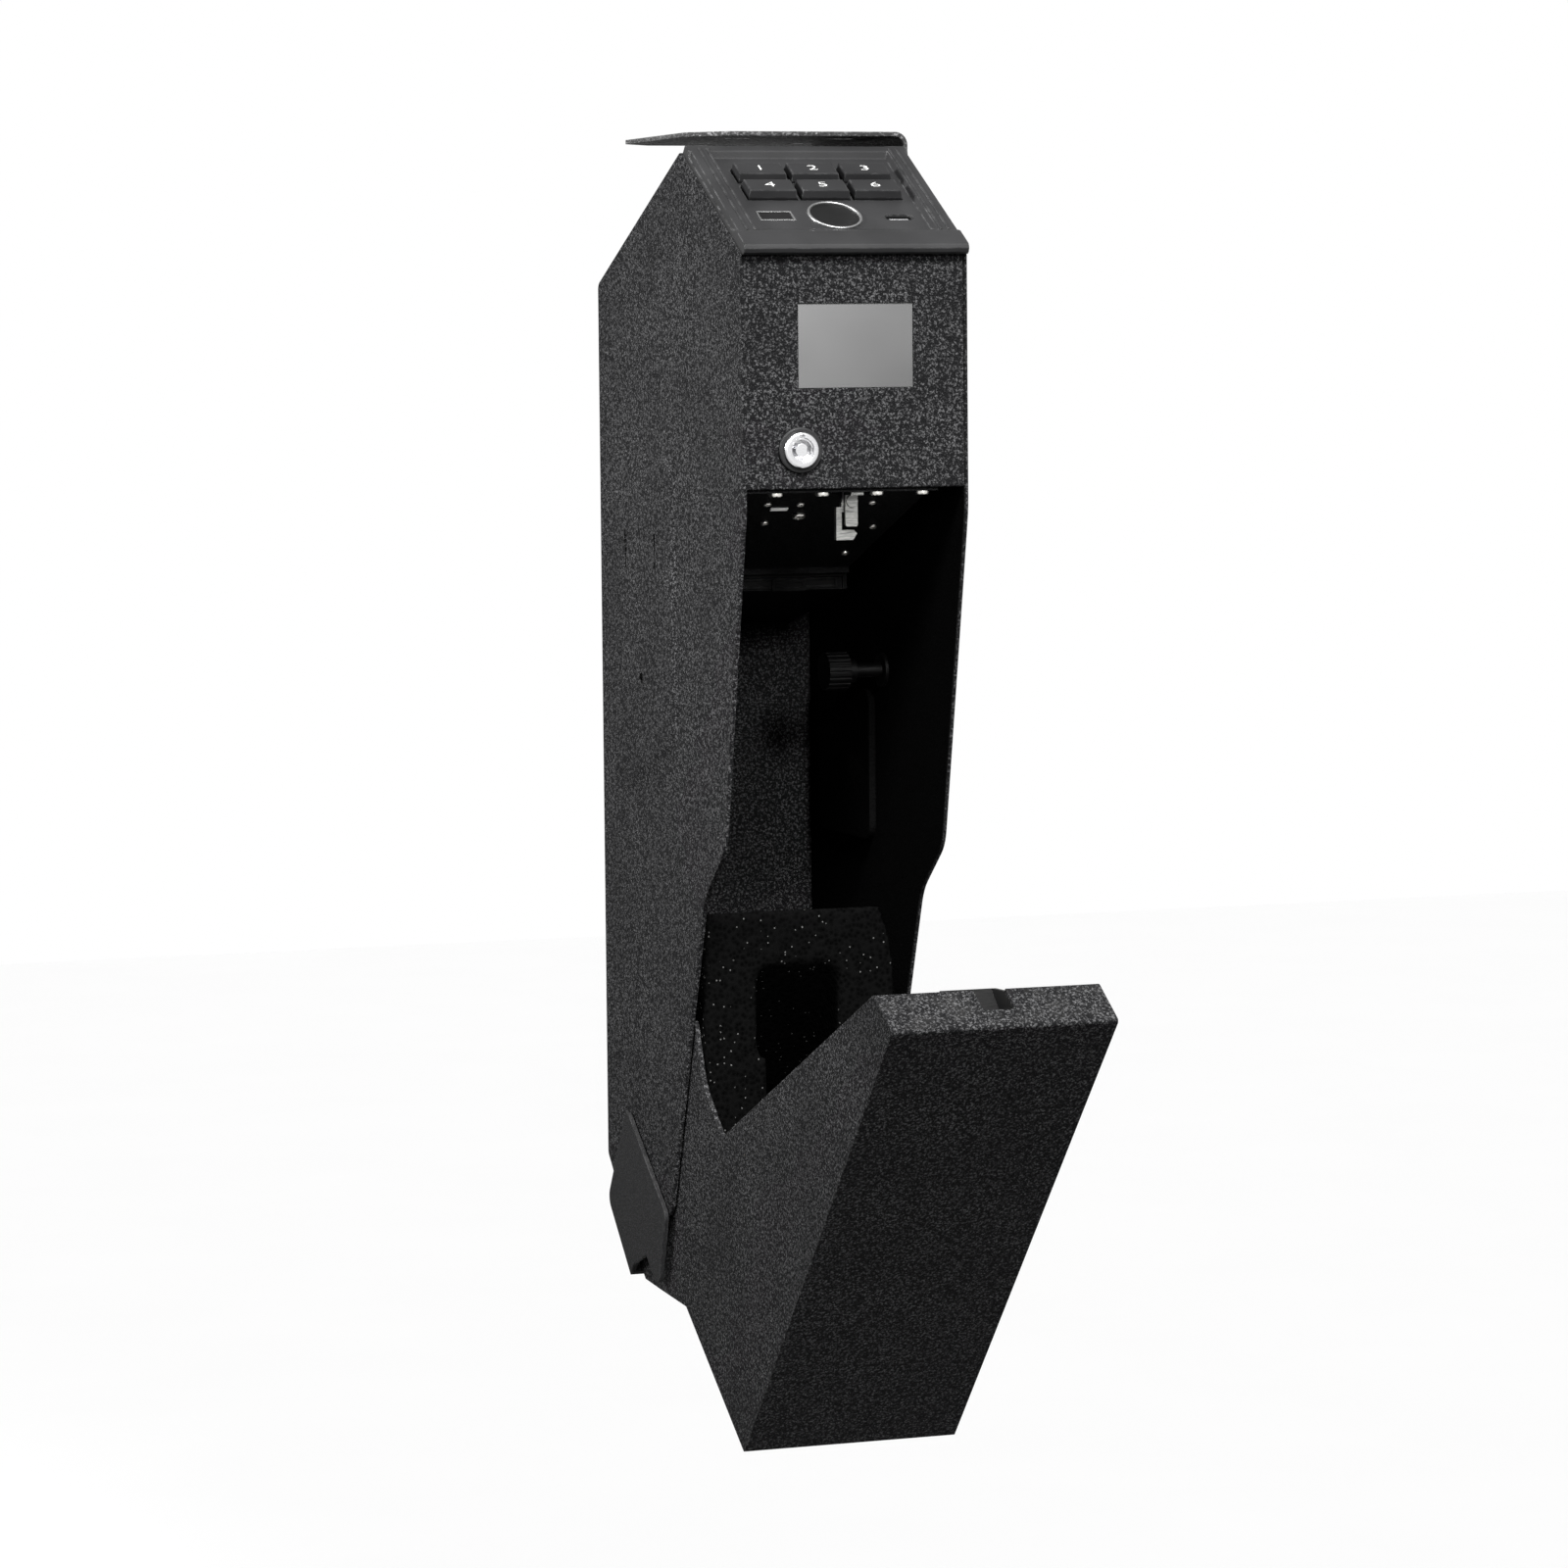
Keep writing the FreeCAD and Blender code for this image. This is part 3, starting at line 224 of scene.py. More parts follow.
# ------------------------------------------------------------------ shader helpers
class Tree:
    """Short calls for building a node tree."""

    def __init__(self, nodes: bpy.types.NodeTree) -> None:
        """Hold the tree that nodes are added to."""
        self.tree = nodes

    def node(self, kind: str, **values: object) -> bpy.types.Node:
        """Add a node and set its properties and unlinked inputs.

        Args:
            kind: the node's type name without the ShaderNode prefix.
            values: property names, or input names with underscores for spaces.

        Returns:
            The new node.
        """
        made = self.tree.nodes.new("ShaderNode" + kind)
        for key, value in values.items():
            if hasattr(made, key):
                setattr(made, key, value)
            else:
                made.inputs[key.replace("_", " ")].default_value = value
        return made

    def link(self, out: bpy.types.NodeSocket, into: bpy.types.NodeSocket) -> None:
        """Join an output to an input."""
        self.tree.links.new(out, into)

    def math(self, operation: str, first: object, second: object = 0.0,
             clamp: bool = False) -> bpy.types.NodeSocket:
        """Add a Math node fed by sockets or plain numbers.

        Args:
            operation: the Math node's operation.
            first: a socket or a number.
            second: a socket or a number.
            clamp: whether the result is kept between 0 and 1.

        Returns:
            The node's output socket.
        """
        made = self.node("Math", operation=operation, use_clamp=clamp)
        for index, value in enumerate((first, second)):
            if isinstance(value, bpy.types.NodeSocket):
                self.link(value, made.inputs[index])
            else:
                made.inputs[index].default_value = value
        return made.outputs[0]

    def ramp(self, source: bpy.types.NodeSocket, low: float, high: float,
             to_low: float = 0.0, to_high: float = 1.0) -> bpy.types.NodeSocket:
        """Remap a value with clamping.

        Args:
            source: the value to remap.
            low: value that maps to to_low.
            high: value that maps to to_high.
            to_low: first result.
            to_high: second result.

        Returns:
            The remapped value.
        """
        made = self.node("MapRange")
        made.inputs["From Min"].default_value = low
        made.inputs["From Max"].default_value = high
        made.inputs["To Min"].default_value = to_low
        made.inputs["To Max"].default_value = to_high
        self.link(source, made.inputs["Value"])
        return made.outputs["Result"]

    def mix(self, share: bpy.types.NodeSocket, first: object,
            second: object) -> bpy.types.NodeSocket:
        """Mix two colours, each a socket or an (r, g, b) tuple.

        Args:
            share: how much of the second colour shows.
            first: the colour at 0.
            second: the colour at 1.

        Returns:
            The mixed colour.
        """
        made = self.node("Mix", data_type="RGBA")
        self.link(share, made.inputs["Factor"])
        for socket, value in ((made.inputs[6], first), (made.inputs[7], second)):
            if isinstance(value, bpy.types.NodeSocket):
                self.link(value, socket)
            else:
                socket.default_value = (*value, 1.0)
        return made.outputs[2]

    def vary_roughness(self, surface: bpy.types.Node, source: bpy.types.NodeSocket,
                       at_low: float, at_high: float) -> None:
        """Let a surface's roughness follow a value between 0 and 1.

        Args:
            surface: the Principled BSDF.
            source: the value to follow.
            at_low: roughness where the value is 0.
            at_high: roughness where the value is 1.
        """
        self.link(self.ramp(source, 0.0, 1.0, at_low, at_high), surface.inputs["Roughness"])

    def bump(self, surface: bpy.types.Node, height: bpy.types.NodeSocket, strength: float,
             distance: float, normal: Optional[bpy.types.NodeSocket] = None) -> None:
        """Tilt a surface's normal by the slope of a height.

        Args:
            surface: the Principled BSDF.
            height: the height to follow.
            strength: share of the effect.
            distance: how far a height of 1 stands out, in metres.
            normal: the normal to start from, if not the mesh's own.
        """
        made = self.node("Bump", Strength=strength, Distance=distance)
        self.link(height, made.inputs["Height"])
        if normal is not None:
            self.link(normal, made.inputs["Normal"])
        self.link(made.outputs["Normal"], surface.inputs["Normal"])


def new_group(name: str, inputs: dict[str, float], outputs: dict[str, str]) -> tuple:
    """Start a shader node group with named sockets.

    Args:
        name: the group's name.
        inputs: input names with their default values.
        outputs: output names with their socket types.

    Returns:
        The group, a Tree on it, its input node and its output node.
    """
    group = bpy.data.node_groups.new(name, "ShaderNodeTree")
    for key, value in inputs.items():
        socket = group.interface.new_socket(key, in_out="INPUT", socket_type="NodeSocketFloat")
        socket.default_value = value
    for key, kind in outputs.items():
        group.interface.new_socket(key, in_out="OUTPUT", socket_type=kind)
    source = group.nodes.new("NodeGroupInput")
    result = group.nodes.new("NodeGroupOutput")
    return group, Tree(group), source, result


class Effect(Enum):
    """Surface effects that several finishes share."""

    SAND = "sand_texture"
    GRAIN = "fine_grain"
    # Edge wear with a painted edge highlight, and painted shade in narrow gaps and recesses.
    WEAR = "edge_wear_highlight_and_shade"
    BRUSHED = "brushed_lines"
    DUST = "settled_dust"


class Effects:
    """Builds each shared effect once and hands it to the finishes."""

    def __init__(self) -> None:
        """Build all groups."""
        self.groups = {
            Effect.SAND: self.sand(),
            Effect.GRAIN: self.grain(),
            Effect.WEAR: self.wear(),
            Effect.BRUSHED: self.brushed(),
            Effect.DUST: self.dust(),
        }

    def put(self, tree: Tree, effect: Effect, **values: float) -> bpy.types.Node:
        """Place an effect in a material.

        Args:
            tree: the material's tree.
            effect: which effect.
            values: input names with underscores for spaces.

        Returns:
            The group node.
        """
        made = tree.tree.nodes.new("ShaderNodeGroup")
        made.node_tree = self.groups[effect]
        for key, value in values.items():
            made.inputs[key.replace("_", " ")].default_value = value
        return made

    @staticmethod
    def sand() -> bpy.types.NodeTree:
        """Coarse sand-textured coat: rounded lumps, pits between them, sparkling tips."""
        group, tree, source, result = new_group(
            "sand_texture", {"Scale": 900.0},
            {"Height": "NodeSocketFloat", "Tips": "NodeSocketFloat", "Tone": "NodeSocketFloat"})
        where = tree.node("TexCoord").outputs["Object"]
        lumps = tree.node("TexVoronoi", feature="SMOOTH_F1", Smoothness=0.6, Randomness=1.0)
        fine = tree.node("TexNoise", Detail=3.0, Roughness=0.6)
        broad = tree.node("TexNoise", Scale=28.0, Detail=2.0)
        for texture in (lumps, fine, broad):
            tree.link(where, texture.inputs["Vector"])
        tree.link(source.outputs["Scale"], lumps.inputs["Scale"])
        tree.link(tree.math("MULTIPLY", source.outputs["Scale"], 2.0), fine.inputs["Scale"])
        lump = tree.ramp(lumps.outputs["Distance"], low=0.0, high=0.75, to_low=1.0, to_high=0.0)
        lump_share, fine_share = 0.3, 1.1
        height = tree.math("ADD", tree.math("MULTIPLY", lump, lump_share),
                           tree.math("MULTIPLY", fine.outputs["Fac"], fine_share))
        tree.link(height, result.inputs["Height"])
        tree.link(tree.ramp(height, low=0.65, high=0.88), result.inputs["Tips"])
        tree.link(tree.ramp(broad.outputs["Fac"], low=0.3, high=0.7), result.inputs["Tone"])
        return group

    @staticmethod
    def grain() -> bpy.types.NodeTree:
        """Fine moulded or cast grain with a slow change of tone."""
        group, tree, source, result = new_group(
            "fine_grain", {"Scale": 2500.0},
            {"Height": "NodeSocketFloat", "Tone": "NodeSocketFloat"})
        where = tree.node("TexCoord").outputs["Object"]
        fine = tree.node("TexNoise", Detail=2.0, Roughness=0.5)
        broad = tree.node("TexNoise", Scale=45.0, Detail=3.0)
        for texture in (fine, broad):
            tree.link(where, texture.inputs["Vector"])
        tree.link(source.outputs["Scale"], fine.inputs["Scale"])
        tree.link(fine.outputs["Fac"], result.inputs["Height"])
        tree.link(tree.ramp(broad.outputs["Fac"], low=0.3, high=0.7), result.inputs["Tone"])
        return group

    @staticmethod
    def wear() -> bpy.types.NodeTree:
        """Rounded-edge normal, edges where a coat rubs thin and which also carry a painted
        highlight, and painted shade in narrow gaps and recesses.
        """
        group, tree, source, result = new_group(
            "edge_wear_highlight_and_shade", {"Radius": 0.0006},
            {"Edge": "NodeSocketFloat", "Normal": "NodeSocketVector",
             "PaintedShade": "NodeSocketFloat"})
        rounded = tree.node("Bevel", samples=4)
        tree.link(source.outputs["Radius"], rounded.inputs["Radius"])
        flat = tree.node("NewGeometry").outputs["Normal"]
        across = tree.node("VectorMath", operation="DOT_PRODUCT")
        tree.link(rounded.outputs["Normal"], across.inputs[0])
        tree.link(flat, across.inputs[1])
        patchy = tree.node("TexNoise", Scale=260.0, Detail=3.0)
        tree.link(tree.node("TexCoord").outputs["Object"], patchy.inputs["Vector"])
        edge = tree.ramp(tree.math("ABSOLUTE", across.outputs["Value"]), low=0.99, high=0.86)
        broken = tree.math("MULTIPLY", edge,
                           tree.ramp(patchy.outputs["Fac"], low=0.42, high=0.62))
        # Painted shade: ambient occlusion finds narrow gaps and recesses, where shade falls, and
        # darkens their colour.
        shade_occlusion = tree.node("AmbientOcclusion", samples=4, Distance=0.0025)
        tree.link(tree.ramp(shade_occlusion.outputs["AO"], low=0.5, high=0.25), result.inputs["PaintedShade"])
        tree.link(broken, result.inputs["Edge"])
        tree.link(rounded.outputs["Normal"], result.inputs["Normal"])
        return group

    @staticmethod
    def brushed() -> bpy.types.NodeTree:
        """Fine parallel lines left by rolling or brushing, along X."""
        group, tree, _, result = new_group(
            "brushed_lines", {}, {"Height": "NodeSocketFloat", "Tone": "NodeSocketFloat"})
        stretch = tree.node("Mapping")
        stretch.inputs["Scale"].default_value = (300.0, 5200.0, 5200.0)
        tree.link(tree.node("TexCoord").outputs["Object"], stretch.inputs["Vector"])
        lines = tree.node("TexNoise", Scale=1.0, Detail=2.0)
        tree.link(stretch.outputs["Vector"], lines.inputs["Vector"])
        tree.link(lines.outputs["Fac"], result.inputs["Height"])
        tree.link(tree.ramp(lines.outputs["Fac"], low=0.35, high=0.65), result.inputs["Tone"])
        return group

    @staticmethod
    def dust() -> bpy.types.NodeTree:
        """Light dust that settles in patches on faces that look up."""
        group, tree, source, result = new_group(
            "settled_dust", {"Amount": 0.3}, {"Dust": "NodeSocketFloat"})
        parts = tree.node("SeparateXYZ")
        tree.link(tree.node("NewGeometry").outputs["Normal"], parts.inputs[0])
        patchy = tree.node("TexNoise", Scale=120.0, Detail=5.0, Roughness=0.7)
        tree.link(tree.node("TexCoord").outputs["Object"], patchy.inputs["Vector"])
        upward = tree.ramp(parts.outputs["Z"], low=0.3, high=1.0)
        patch = tree.math("MULTIPLY", upward,
                          tree.ramp(patchy.outputs["Fac"], low=0.45, high=0.75))
        tree.link(tree.math("MULTIPLY", patch, source.outputs["Amount"]), result.inputs["Dust"])
        return group


def start_material(name: str) -> tuple[bpy.types.Material, Tree, bpy.types.Node]:
    """Start a material with an empty Principled surface.

    Args:
        name: the material's name.

    Returns:
        The material, a Tree on its nodes, and its Principled BSDF.
    """
    material = bpy.data.materials.new(name)
    material.use_nodes = True
    material.node_tree.nodes.clear()
    tree = Tree(material.node_tree)
    surface = tree.node("BsdfPrincipled")
    output = tree.node("OutputMaterial")
    tree.link(surface.outputs["BSDF"], output.inputs["Surface"])
    return material, tree, surface


@dataclass(frozen=True)
class SandCoat:
    """Coarse textured powder coat on sheet steel."""

    name: str
    low: tuple = (0.0015, 0.0015, 0.0016)
    high: tuple = (0.023, 0.023, 0.0235)
    scale: float = 860.0
    depth: float = 1.0
    roughness: float = 0.62
    pit_roughness: float = 0.16
    tip_polish: float = 0.08
    lump_height: float = 0.00045
    # Share of the edge mark: rubbed coat and a painted highlight along edges.
    wear: float = 0.12
    specular: float = 0.012
    # Where painted shade begins on a panel's inner side, if it has any.
    dark_side_x: Optional[float] = None
    edge_radius: float = 0.0007
    unevenness: float = 0.35
    dust: float = 0.05
    # Colour of the edge mark: rubbed coat and a painted highlight along edges.
    rubbed_colour: tuple = grey(0.06)
    dust_colour: tuple = (0.08, 0.078, 0.075)
    # Near-black painted shade on a panel's inner side.
    dark_colour: tuple = grey(0.0004)

    def build(self, effects: Effects) -> bpy.types.Material:
        """Make the material."""
        material, tree, surface = start_material(self.name)
        sand = effects.put(tree, Effect.SAND, Scale=self.scale)
        edge = effects.put(tree, Effect.WEAR, Radius=self.edge_radius)
        dust = effects.put(tree, Effect.DUST, Amount=self.dust)
        coat = tree.mix(sand.outputs["Tips"], self.low, self.high)
        toned = tree.mix(tree.math("MULTIPLY", sand.outputs["Tone"], self.unevenness), coat,
                         self.low)
        # Edges lighter: partly rubbed coat, partly a painted highlight.
        rubbed = tree.mix(tree.math("MULTIPLY", edge.outputs["Edge"], self.wear), toned,
                          self.rubbed_colour)
        dusted = tree.mix(dust.outputs["Dust"], rubbed, self.dust_colour)
        # Painted shade: beyond this x, the panel's inner side turns near-black.
        if self.dark_side_x is not None:
            where = tree.node("SeparateXYZ")
            tree.link(tree.node("TexCoord").outputs["Object"], where.inputs[0])
            inner = tree.ramp(where.outputs["X"], self.dark_side_x + MM, self.dark_side_x)
            dusted = tree.mix(inner, dusted, self.dark_colour)
        # Painted shade: near-black colour mixed into narrow gaps and recesses.
        painted_gap_shade = tree.mix(edge.outputs["PaintedShade"], dusted, PAINTED_SHADE_BLACK)
        tree.link(painted_gap_shade, surface.inputs["Base Color"])
        tree.vary_roughness(surface, sand.outputs["Tips"], self.roughness + self.pit_roughness,
                            self.roughness - self.tip_polish)
        surface.inputs["Specular IOR Level"].default_value = self.specular
        tree.bump(surface, sand.outputs["Height"], self.depth, self.lump_height,
                  edge.outputs["Normal"])
        return material


@dataclass(frozen=True)
class Moulded:
    """Moulded plastic or rubber with a fine grain."""

    name: str
    colour: tuple = (0.02, 0.02, 0.021)
    roughness: float = 0.4
    grain: float = 2600.0
    depth: float = 0.12
    edge_radius: float = 0.0004
    specular: float = 0.5
    # Share of the edge mark: rubbed plastic and a painted highlight along edges.
    rubbed: float = 0.25
    tone_share: float = 0.5
    uneven_roughness: float = 0.08
    grain_height: float = 0.0001

    def lighten(self, gain: float, lift: float) -> tuple:
        """Return the colour made lighter by a factor and an even lift."""
        return tuple(min(1.0, value * gain + lift) for value in self.colour)

    def build(self, effects: Effects) -> bpy.types.Material:
        """Make the material."""
        material, tree, surface = start_material(self.name)
        grain = effects.put(tree, Effect.GRAIN, Scale=self.grain)
        edge = effects.put(tree, Effect.WEAR, Radius=self.edge_radius)
        toned = tree.mix(tree.math("MULTIPLY", grain.outputs["Tone"], self.tone_share),
                         self.colour, self.lighten(gain=1.6, lift=0.001))
        # Edges lighter: partly rubbed plastic, partly a painted highlight.
        worn_and_highlit = tree.mix(tree.math("MULTIPLY", edge.outputs["Edge"], self.rubbed), toned,
                        self.lighten(gain=3.0, lift=0.012))
        # Painted shade: near-black colour mixed into narrow gaps and recesses.
        painted_gap_shade = tree.mix(edge.outputs["PaintedShade"], worn_and_highlit, PAINTED_SHADE_BLACK)
        tree.link(painted_gap_shade, surface.inputs["Base Color"])
        tree.vary_roughness(surface, grain.outputs["Tone"], self.roughness,
                            self.roughness + self.uneven_roughness)
        surface.inputs["Specular IOR Level"].default_value = self.specular
        tree.bump(surface, grain.outputs["Height"], self.depth, self.grain_height,
                  edge.outputs["Normal"])
        return material


@dataclass(frozen=True)
class Metal:
    """Plated or bare metal with rolling lines and softened edges."""

    name: str
    colour: tuple = (0.62, 0.62, 0.61)
    dark: tuple = (0.4, 0.4, 0.4)
    roughness: float = 0.22
    line_roughness: float = 0.1
    depth: float = 0.06
    line_height: float = 0.00005
    edge_radius: float = 0.00025

    def build(self, effects: Effects) -> bpy.types.Material:
        """Make the material."""
        material, tree, surface = start_material(self.name)
        brushed = effects.put(tree, Effect.BRUSHED)
        edge = effects.put(tree, Effect.WEAR, Radius=self.edge_radius)
        toned = tree.mix(brushed.outputs["Tone"], self.dark, self.colour)
        tree.link(toned, surface.inputs["Base Color"])
        surface.inputs["Metallic"].default_value = 1.0
        tree.vary_roughness(surface, brushed.outputs["Tone"],
                            self.roughness + self.line_roughness, self.roughness)
        tree.bump(surface, brushed.outputs["Height"], self.depth, self.line_height,
                  edge.outputs["Normal"])
        return material


@dataclass(frozen=True)
class DisplayPane:
    """Display window: smooth grey pane with a painted reflection that makes it lighter towards its
    upper left corner.
    """

    name: str
    low: tuple = grey(0.007)
    high: tuple = grey(0.019)
    specular: float = 0.3

    def build(self, effects: Effects) -> bpy.types.Material:
        """Make the material."""
        material, tree, surface = start_material(self.name)
        where = tree.node("SeparateXYZ")
        tree.link(tree.node("TexCoord").outputs["Object"], where.inputs[0])
        bottom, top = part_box("display_window")
        side_share, grain_share = 0.5, 0.06
        # Painted reflection: lighter towards the top and towards the left, with a little grain
        # tone on top.
        rise = tree.math("MULTIPLY", tree.ramp(where.outputs["Z"], bottom.z, top.z), side_share)
        drop = tree.math("MULTIPLY", tree.ramp(where.outputs["X"], top.x, bottom.x), side_share)
        grain = effects.put(tree, Effect.GRAIN, Scale=3500.0)
        painted_reflection_and_grain = tree.math("ADD", tree.math("ADD", rise, drop),
                           tree.math("MULTIPLY", grain.outputs["Tone"], grain_share),
                           clamp=True)
        tree.link(tree.mix(painted_reflection_and_grain, self.low, self.high), surface.inputs["Base Color"])
        tree.vary_roughness(surface, grain.outputs["Tone"], at_low=0.5, at_high=0.56)
        surface.inputs["Specular IOR Level"].default_value = self.specular
        tree.bump(surface, grain.outputs["Height"], strength=0.02, distance=0.0001)
        return material


@dataclass(frozen=True)
class FleckedFoam:
    """Firm charcoal foam: open cells at the cut face and scattered pale flecks."""

    name: str
    cell_scale: float = 620.0
    fleck_scale: float = 800.0
    cell_low: tuple = grey(0.0001)
    cell_high: tuple = grey(0.0007)
    skin: tuple = grey(0.0004)
    fleck: tuple = (0.022, 0.022, 0.0215)
    skin_share: float = 0.4

    def build(self, effects: Effects) -> bpy.types.Material:
        """Make the material."""
        material, tree, surface = start_material(self.name)
        where = tree.node("TexCoord").outputs["Object"]
        cells = tree.node("TexVoronoi", Scale=self.cell_scale)
        flecks = tree.node("TexVoronoi", Scale=self.fleck_scale)
        for texture in (cells, flecks):
            tree.link(where, texture.inputs["Vector"])
        chosen = tree.node("SeparateColor")
        tree.link(flecks.outputs["Color"], chosen.inputs[0])
        rare = tree.ramp(chosen.outputs[0], low=0.9, high=0.91)
        small = tree.ramp(flecks.outputs["Distance"], low=0.26, high=0.16)
        fleck = tree.math("MULTIPLY", rare, small)
        grain = effects.put(tree, Effect.GRAIN, Scale=1800.0)
        base = tree.mix(tree.ramp(cells.outputs["Distance"], low=0.0, high=0.7), self.cell_low,
                        self.cell_high)
        toned = tree.mix(tree.math("MULTIPLY", grain.outputs["Tone"], self.skin_share), base,
                         self.skin)
        tree.link(tree.mix(fleck, toned, self.fleck), surface.inputs["Base Color"])
        tree.vary_roughness(surface, grain.outputs["Tone"], at_low=0.82, at_high=0.94)
        surface.inputs["Specular IOR Level"].default_value = 0.0
        tree.bump(surface, cells.outputs["Distance"], strength=0.5, distance=0.0004)
        return material


@dataclass(frozen=True)
class Board:
    """Circuit board: solder mask with faint tracks."""

    name: str
    mask: tuple = (0.006, 0.05, 0.022)
    track: tuple = (0.014, 0.1, 0.045)

    def build(self, effects: Effects) -> bpy.types.Material:
        """Make the material."""
        material, tree, surface = start_material(self.name)
        tracks = tree.node("TexBrick", Scale=260.0, Mortar_Size=0.06, squash=0.5)
        tree.link(tree.node("TexCoord").outputs["Object"], tracks.inputs["Vector"])
        grain = effects.put(tree, Effect.GRAIN, Scale=4000.0)
        tree.link(tree.mix(tracks.outputs["Fac"], self.mask, self.track),
                  surface.inputs["Base Color"])
        tree.vary_roughness(surface, grain.outputs["Tone"], at_low=0.25, at_high=0.35)
        tree.bump(surface, tracks.outputs["Fac"], strength=0.2, distance=0.00005)
        return material


# ------------------------------------------------------------------ sub-assemblies
@dataclass
class Wardrobe:
    """All finishes, and which CAD nodes wear each of them."""

    effects: Effects = field(default_factory=Effects)
    made: dict = field(default_factory=dict)

    @staticmethod
    def sheet_coats() -> list[tuple]:
        """Return the coats on sheet steel, each with the nodes that wear it."""
        right_inner_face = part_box("right_side_panel")[1].x - PANEL_DEPTH
        return [
            (SandCoat("sand_powder_coat"),
             ["left_side_panel", "front_panel", "rear_cover", "door_tub", "rear_tie_bar"]),
            # The same coat with painted shade on the right panel's inner face.
            (SandCoat("sand_powder_coat_inner_shade", dark_side_x=right_inner_face),
             ["right_side_panel"]),
            (SandCoat("bracket_powder_coat", low=grey(0.006), high=(0.045, 0.045, 0.0455),
                      scale=760.0, depth=0.8, roughness=0.6, wear=0.3, specular=0.05),
             ["mounting_bracket"]),
            (SandCoat("fine_black_coat", low=(0.002, 0.002, 0.0021),
                      high=(0.006, 0.006, 0.0062), scale=1500.0, depth=0.45, roughness=0.6,
                      wear=0.2, specular=0.03),
             ["electronics_tray", "hinge_cradle"]),
        ]

    @staticmethod
    def mouldings() -> list[tuple]:
        """Return the plastic, rubber and lens finishes, each with the nodes that wear it."""
        return [
            (Moulded("bezel_plastic", colour=(0.003, 0.003, 0.0031), roughness=0.36, depth=0.16,
                     edge_radius=0.0007, specular=0.04, rubbed=0.8),
             ["keypad_bezel", "lock_collar", "power_port"]),
            (Moulded("key_plastic", colour=(0.0025, 0.0025, 0.0026), roughness=0.3,
                     grain=3200.0, depth=0.08, edge_radius=0.0007, specular=0.035, rubbed=1.0),
             ["key_%d" % number for number in KEY_NUMBERS]),
            (Moulded("battery_box_plastic", colour=grey(0.001), edge_radius=0.0005,
                     specular=0.02, rubbed=1.0),
             ["battery_box", "battery_lid", "buzzer", "main_chip"]),
            (Moulded("smoked_lens", colour=grey(0.001), roughness=0.3, grain=4000.0, depth=0.01,
                     edge_radius=0.0002, specular=0.02), ["status_window"]),
            (Moulded("sensor_glass", colour=grey(0.001), grain=3600.0, depth=0.05,
                     edge_radius=0.0002, specular=0.03), ["fingerprint_sensor"]),
            (Moulded("milky_lens", colour=(0.8, 0.8, 0.77), roughness=0.3, grain=3000.0,
                     depth=0.02), ["interior_light"]),
            (Moulded("soft_rubber", colour=grey(0.018), roughness=0.7, grain=1800.0, depth=0.2),
             ["key_membrane", "door_bumpers"]),
            (Moulded("cell_wrap", colour=(0.03, 0.035, 0.05), roughness=0.25, grain=4000.0,
                     depth=0.02), ["battery_cells"]),
            (DisplayPane("display_grey"), ["display_window"]),
            (Board("circuit_board"), ["main_board", "keypad_board", "display_module"]),
            (FleckedFoam("flecked_foam"), ["foam_insert"]),
        ]

    @staticmethod
    def metals() -> list[tuple]:
        """Return the plated and bare metals, each with the nodes that wear it."""
        return [
            (Metal("lock_chrome", (0.7, 0.7, 0.71), (0.5, 0.5, 0.51), 0.16, depth=0.015),
             ["lock_body", "lock_plug", "port_tongue"]),
            (Metal("satin_ring", grey(0.11), grey(0.07), 0.4, depth=0.02),
             ["sensor_ring", "status_window_frame"]),
            (Metal("nickel_plate", (0.78, 0.76, 0.72), (0.55, 0.54, 0.51), 0.24),
             ["striker", "tray_screws", "battery_contacts"]),
            (Metal("brushed_latch_steel", (0.2, 0.2, 0.19), grey(0.06), 0.34),
             ["latch_strap", "latch_hook", "latch_pivot_pin"]),
            (Metal("zinc_steel", (0.45, 0.45, 0.46), (0.3, 0.3, 0.31), 0.34),
             ["lock_nut", "lock_cam", "cam_screw", "board_screws", "hinge_rod", "door_springs",
              "solenoid_plunger", "striker_rivets", "release_solenoid"]),
            (Metal("blackened_steel", grey(0.006), grey(0.003), 0.5),
             ["thumb_screw", "thumb_washer", "striker_bracket"]),
            (Metal("oiled_bronze", (0.42, 0.27, 0.11), (0.28, 0.17, 0.07), 0.35),
             ["hinge_bushes"]),
        ]

    def dress_nodes(self) -> None:
        """Give every CAD node its finish."""
        plan = self.sheet_coats() + self.mouldings() + self.metals()
        for finish, names in plan:
            material = finish.build(self.effects)
            self.made[finish.name] = material
            for name in names:
                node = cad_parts[name]
                node.data.materials.clear()
                node.data.materials.append(material)
                LOG.info("dressed %s in %s", name, finish.name)

    def wear(self, piece: bpy.types.Object, finish: str) -> None:
        """Give a new piece one of the finishes already made."""
        piece.data.materials.clear()
        piece.data.materials.append(self.made[finish])


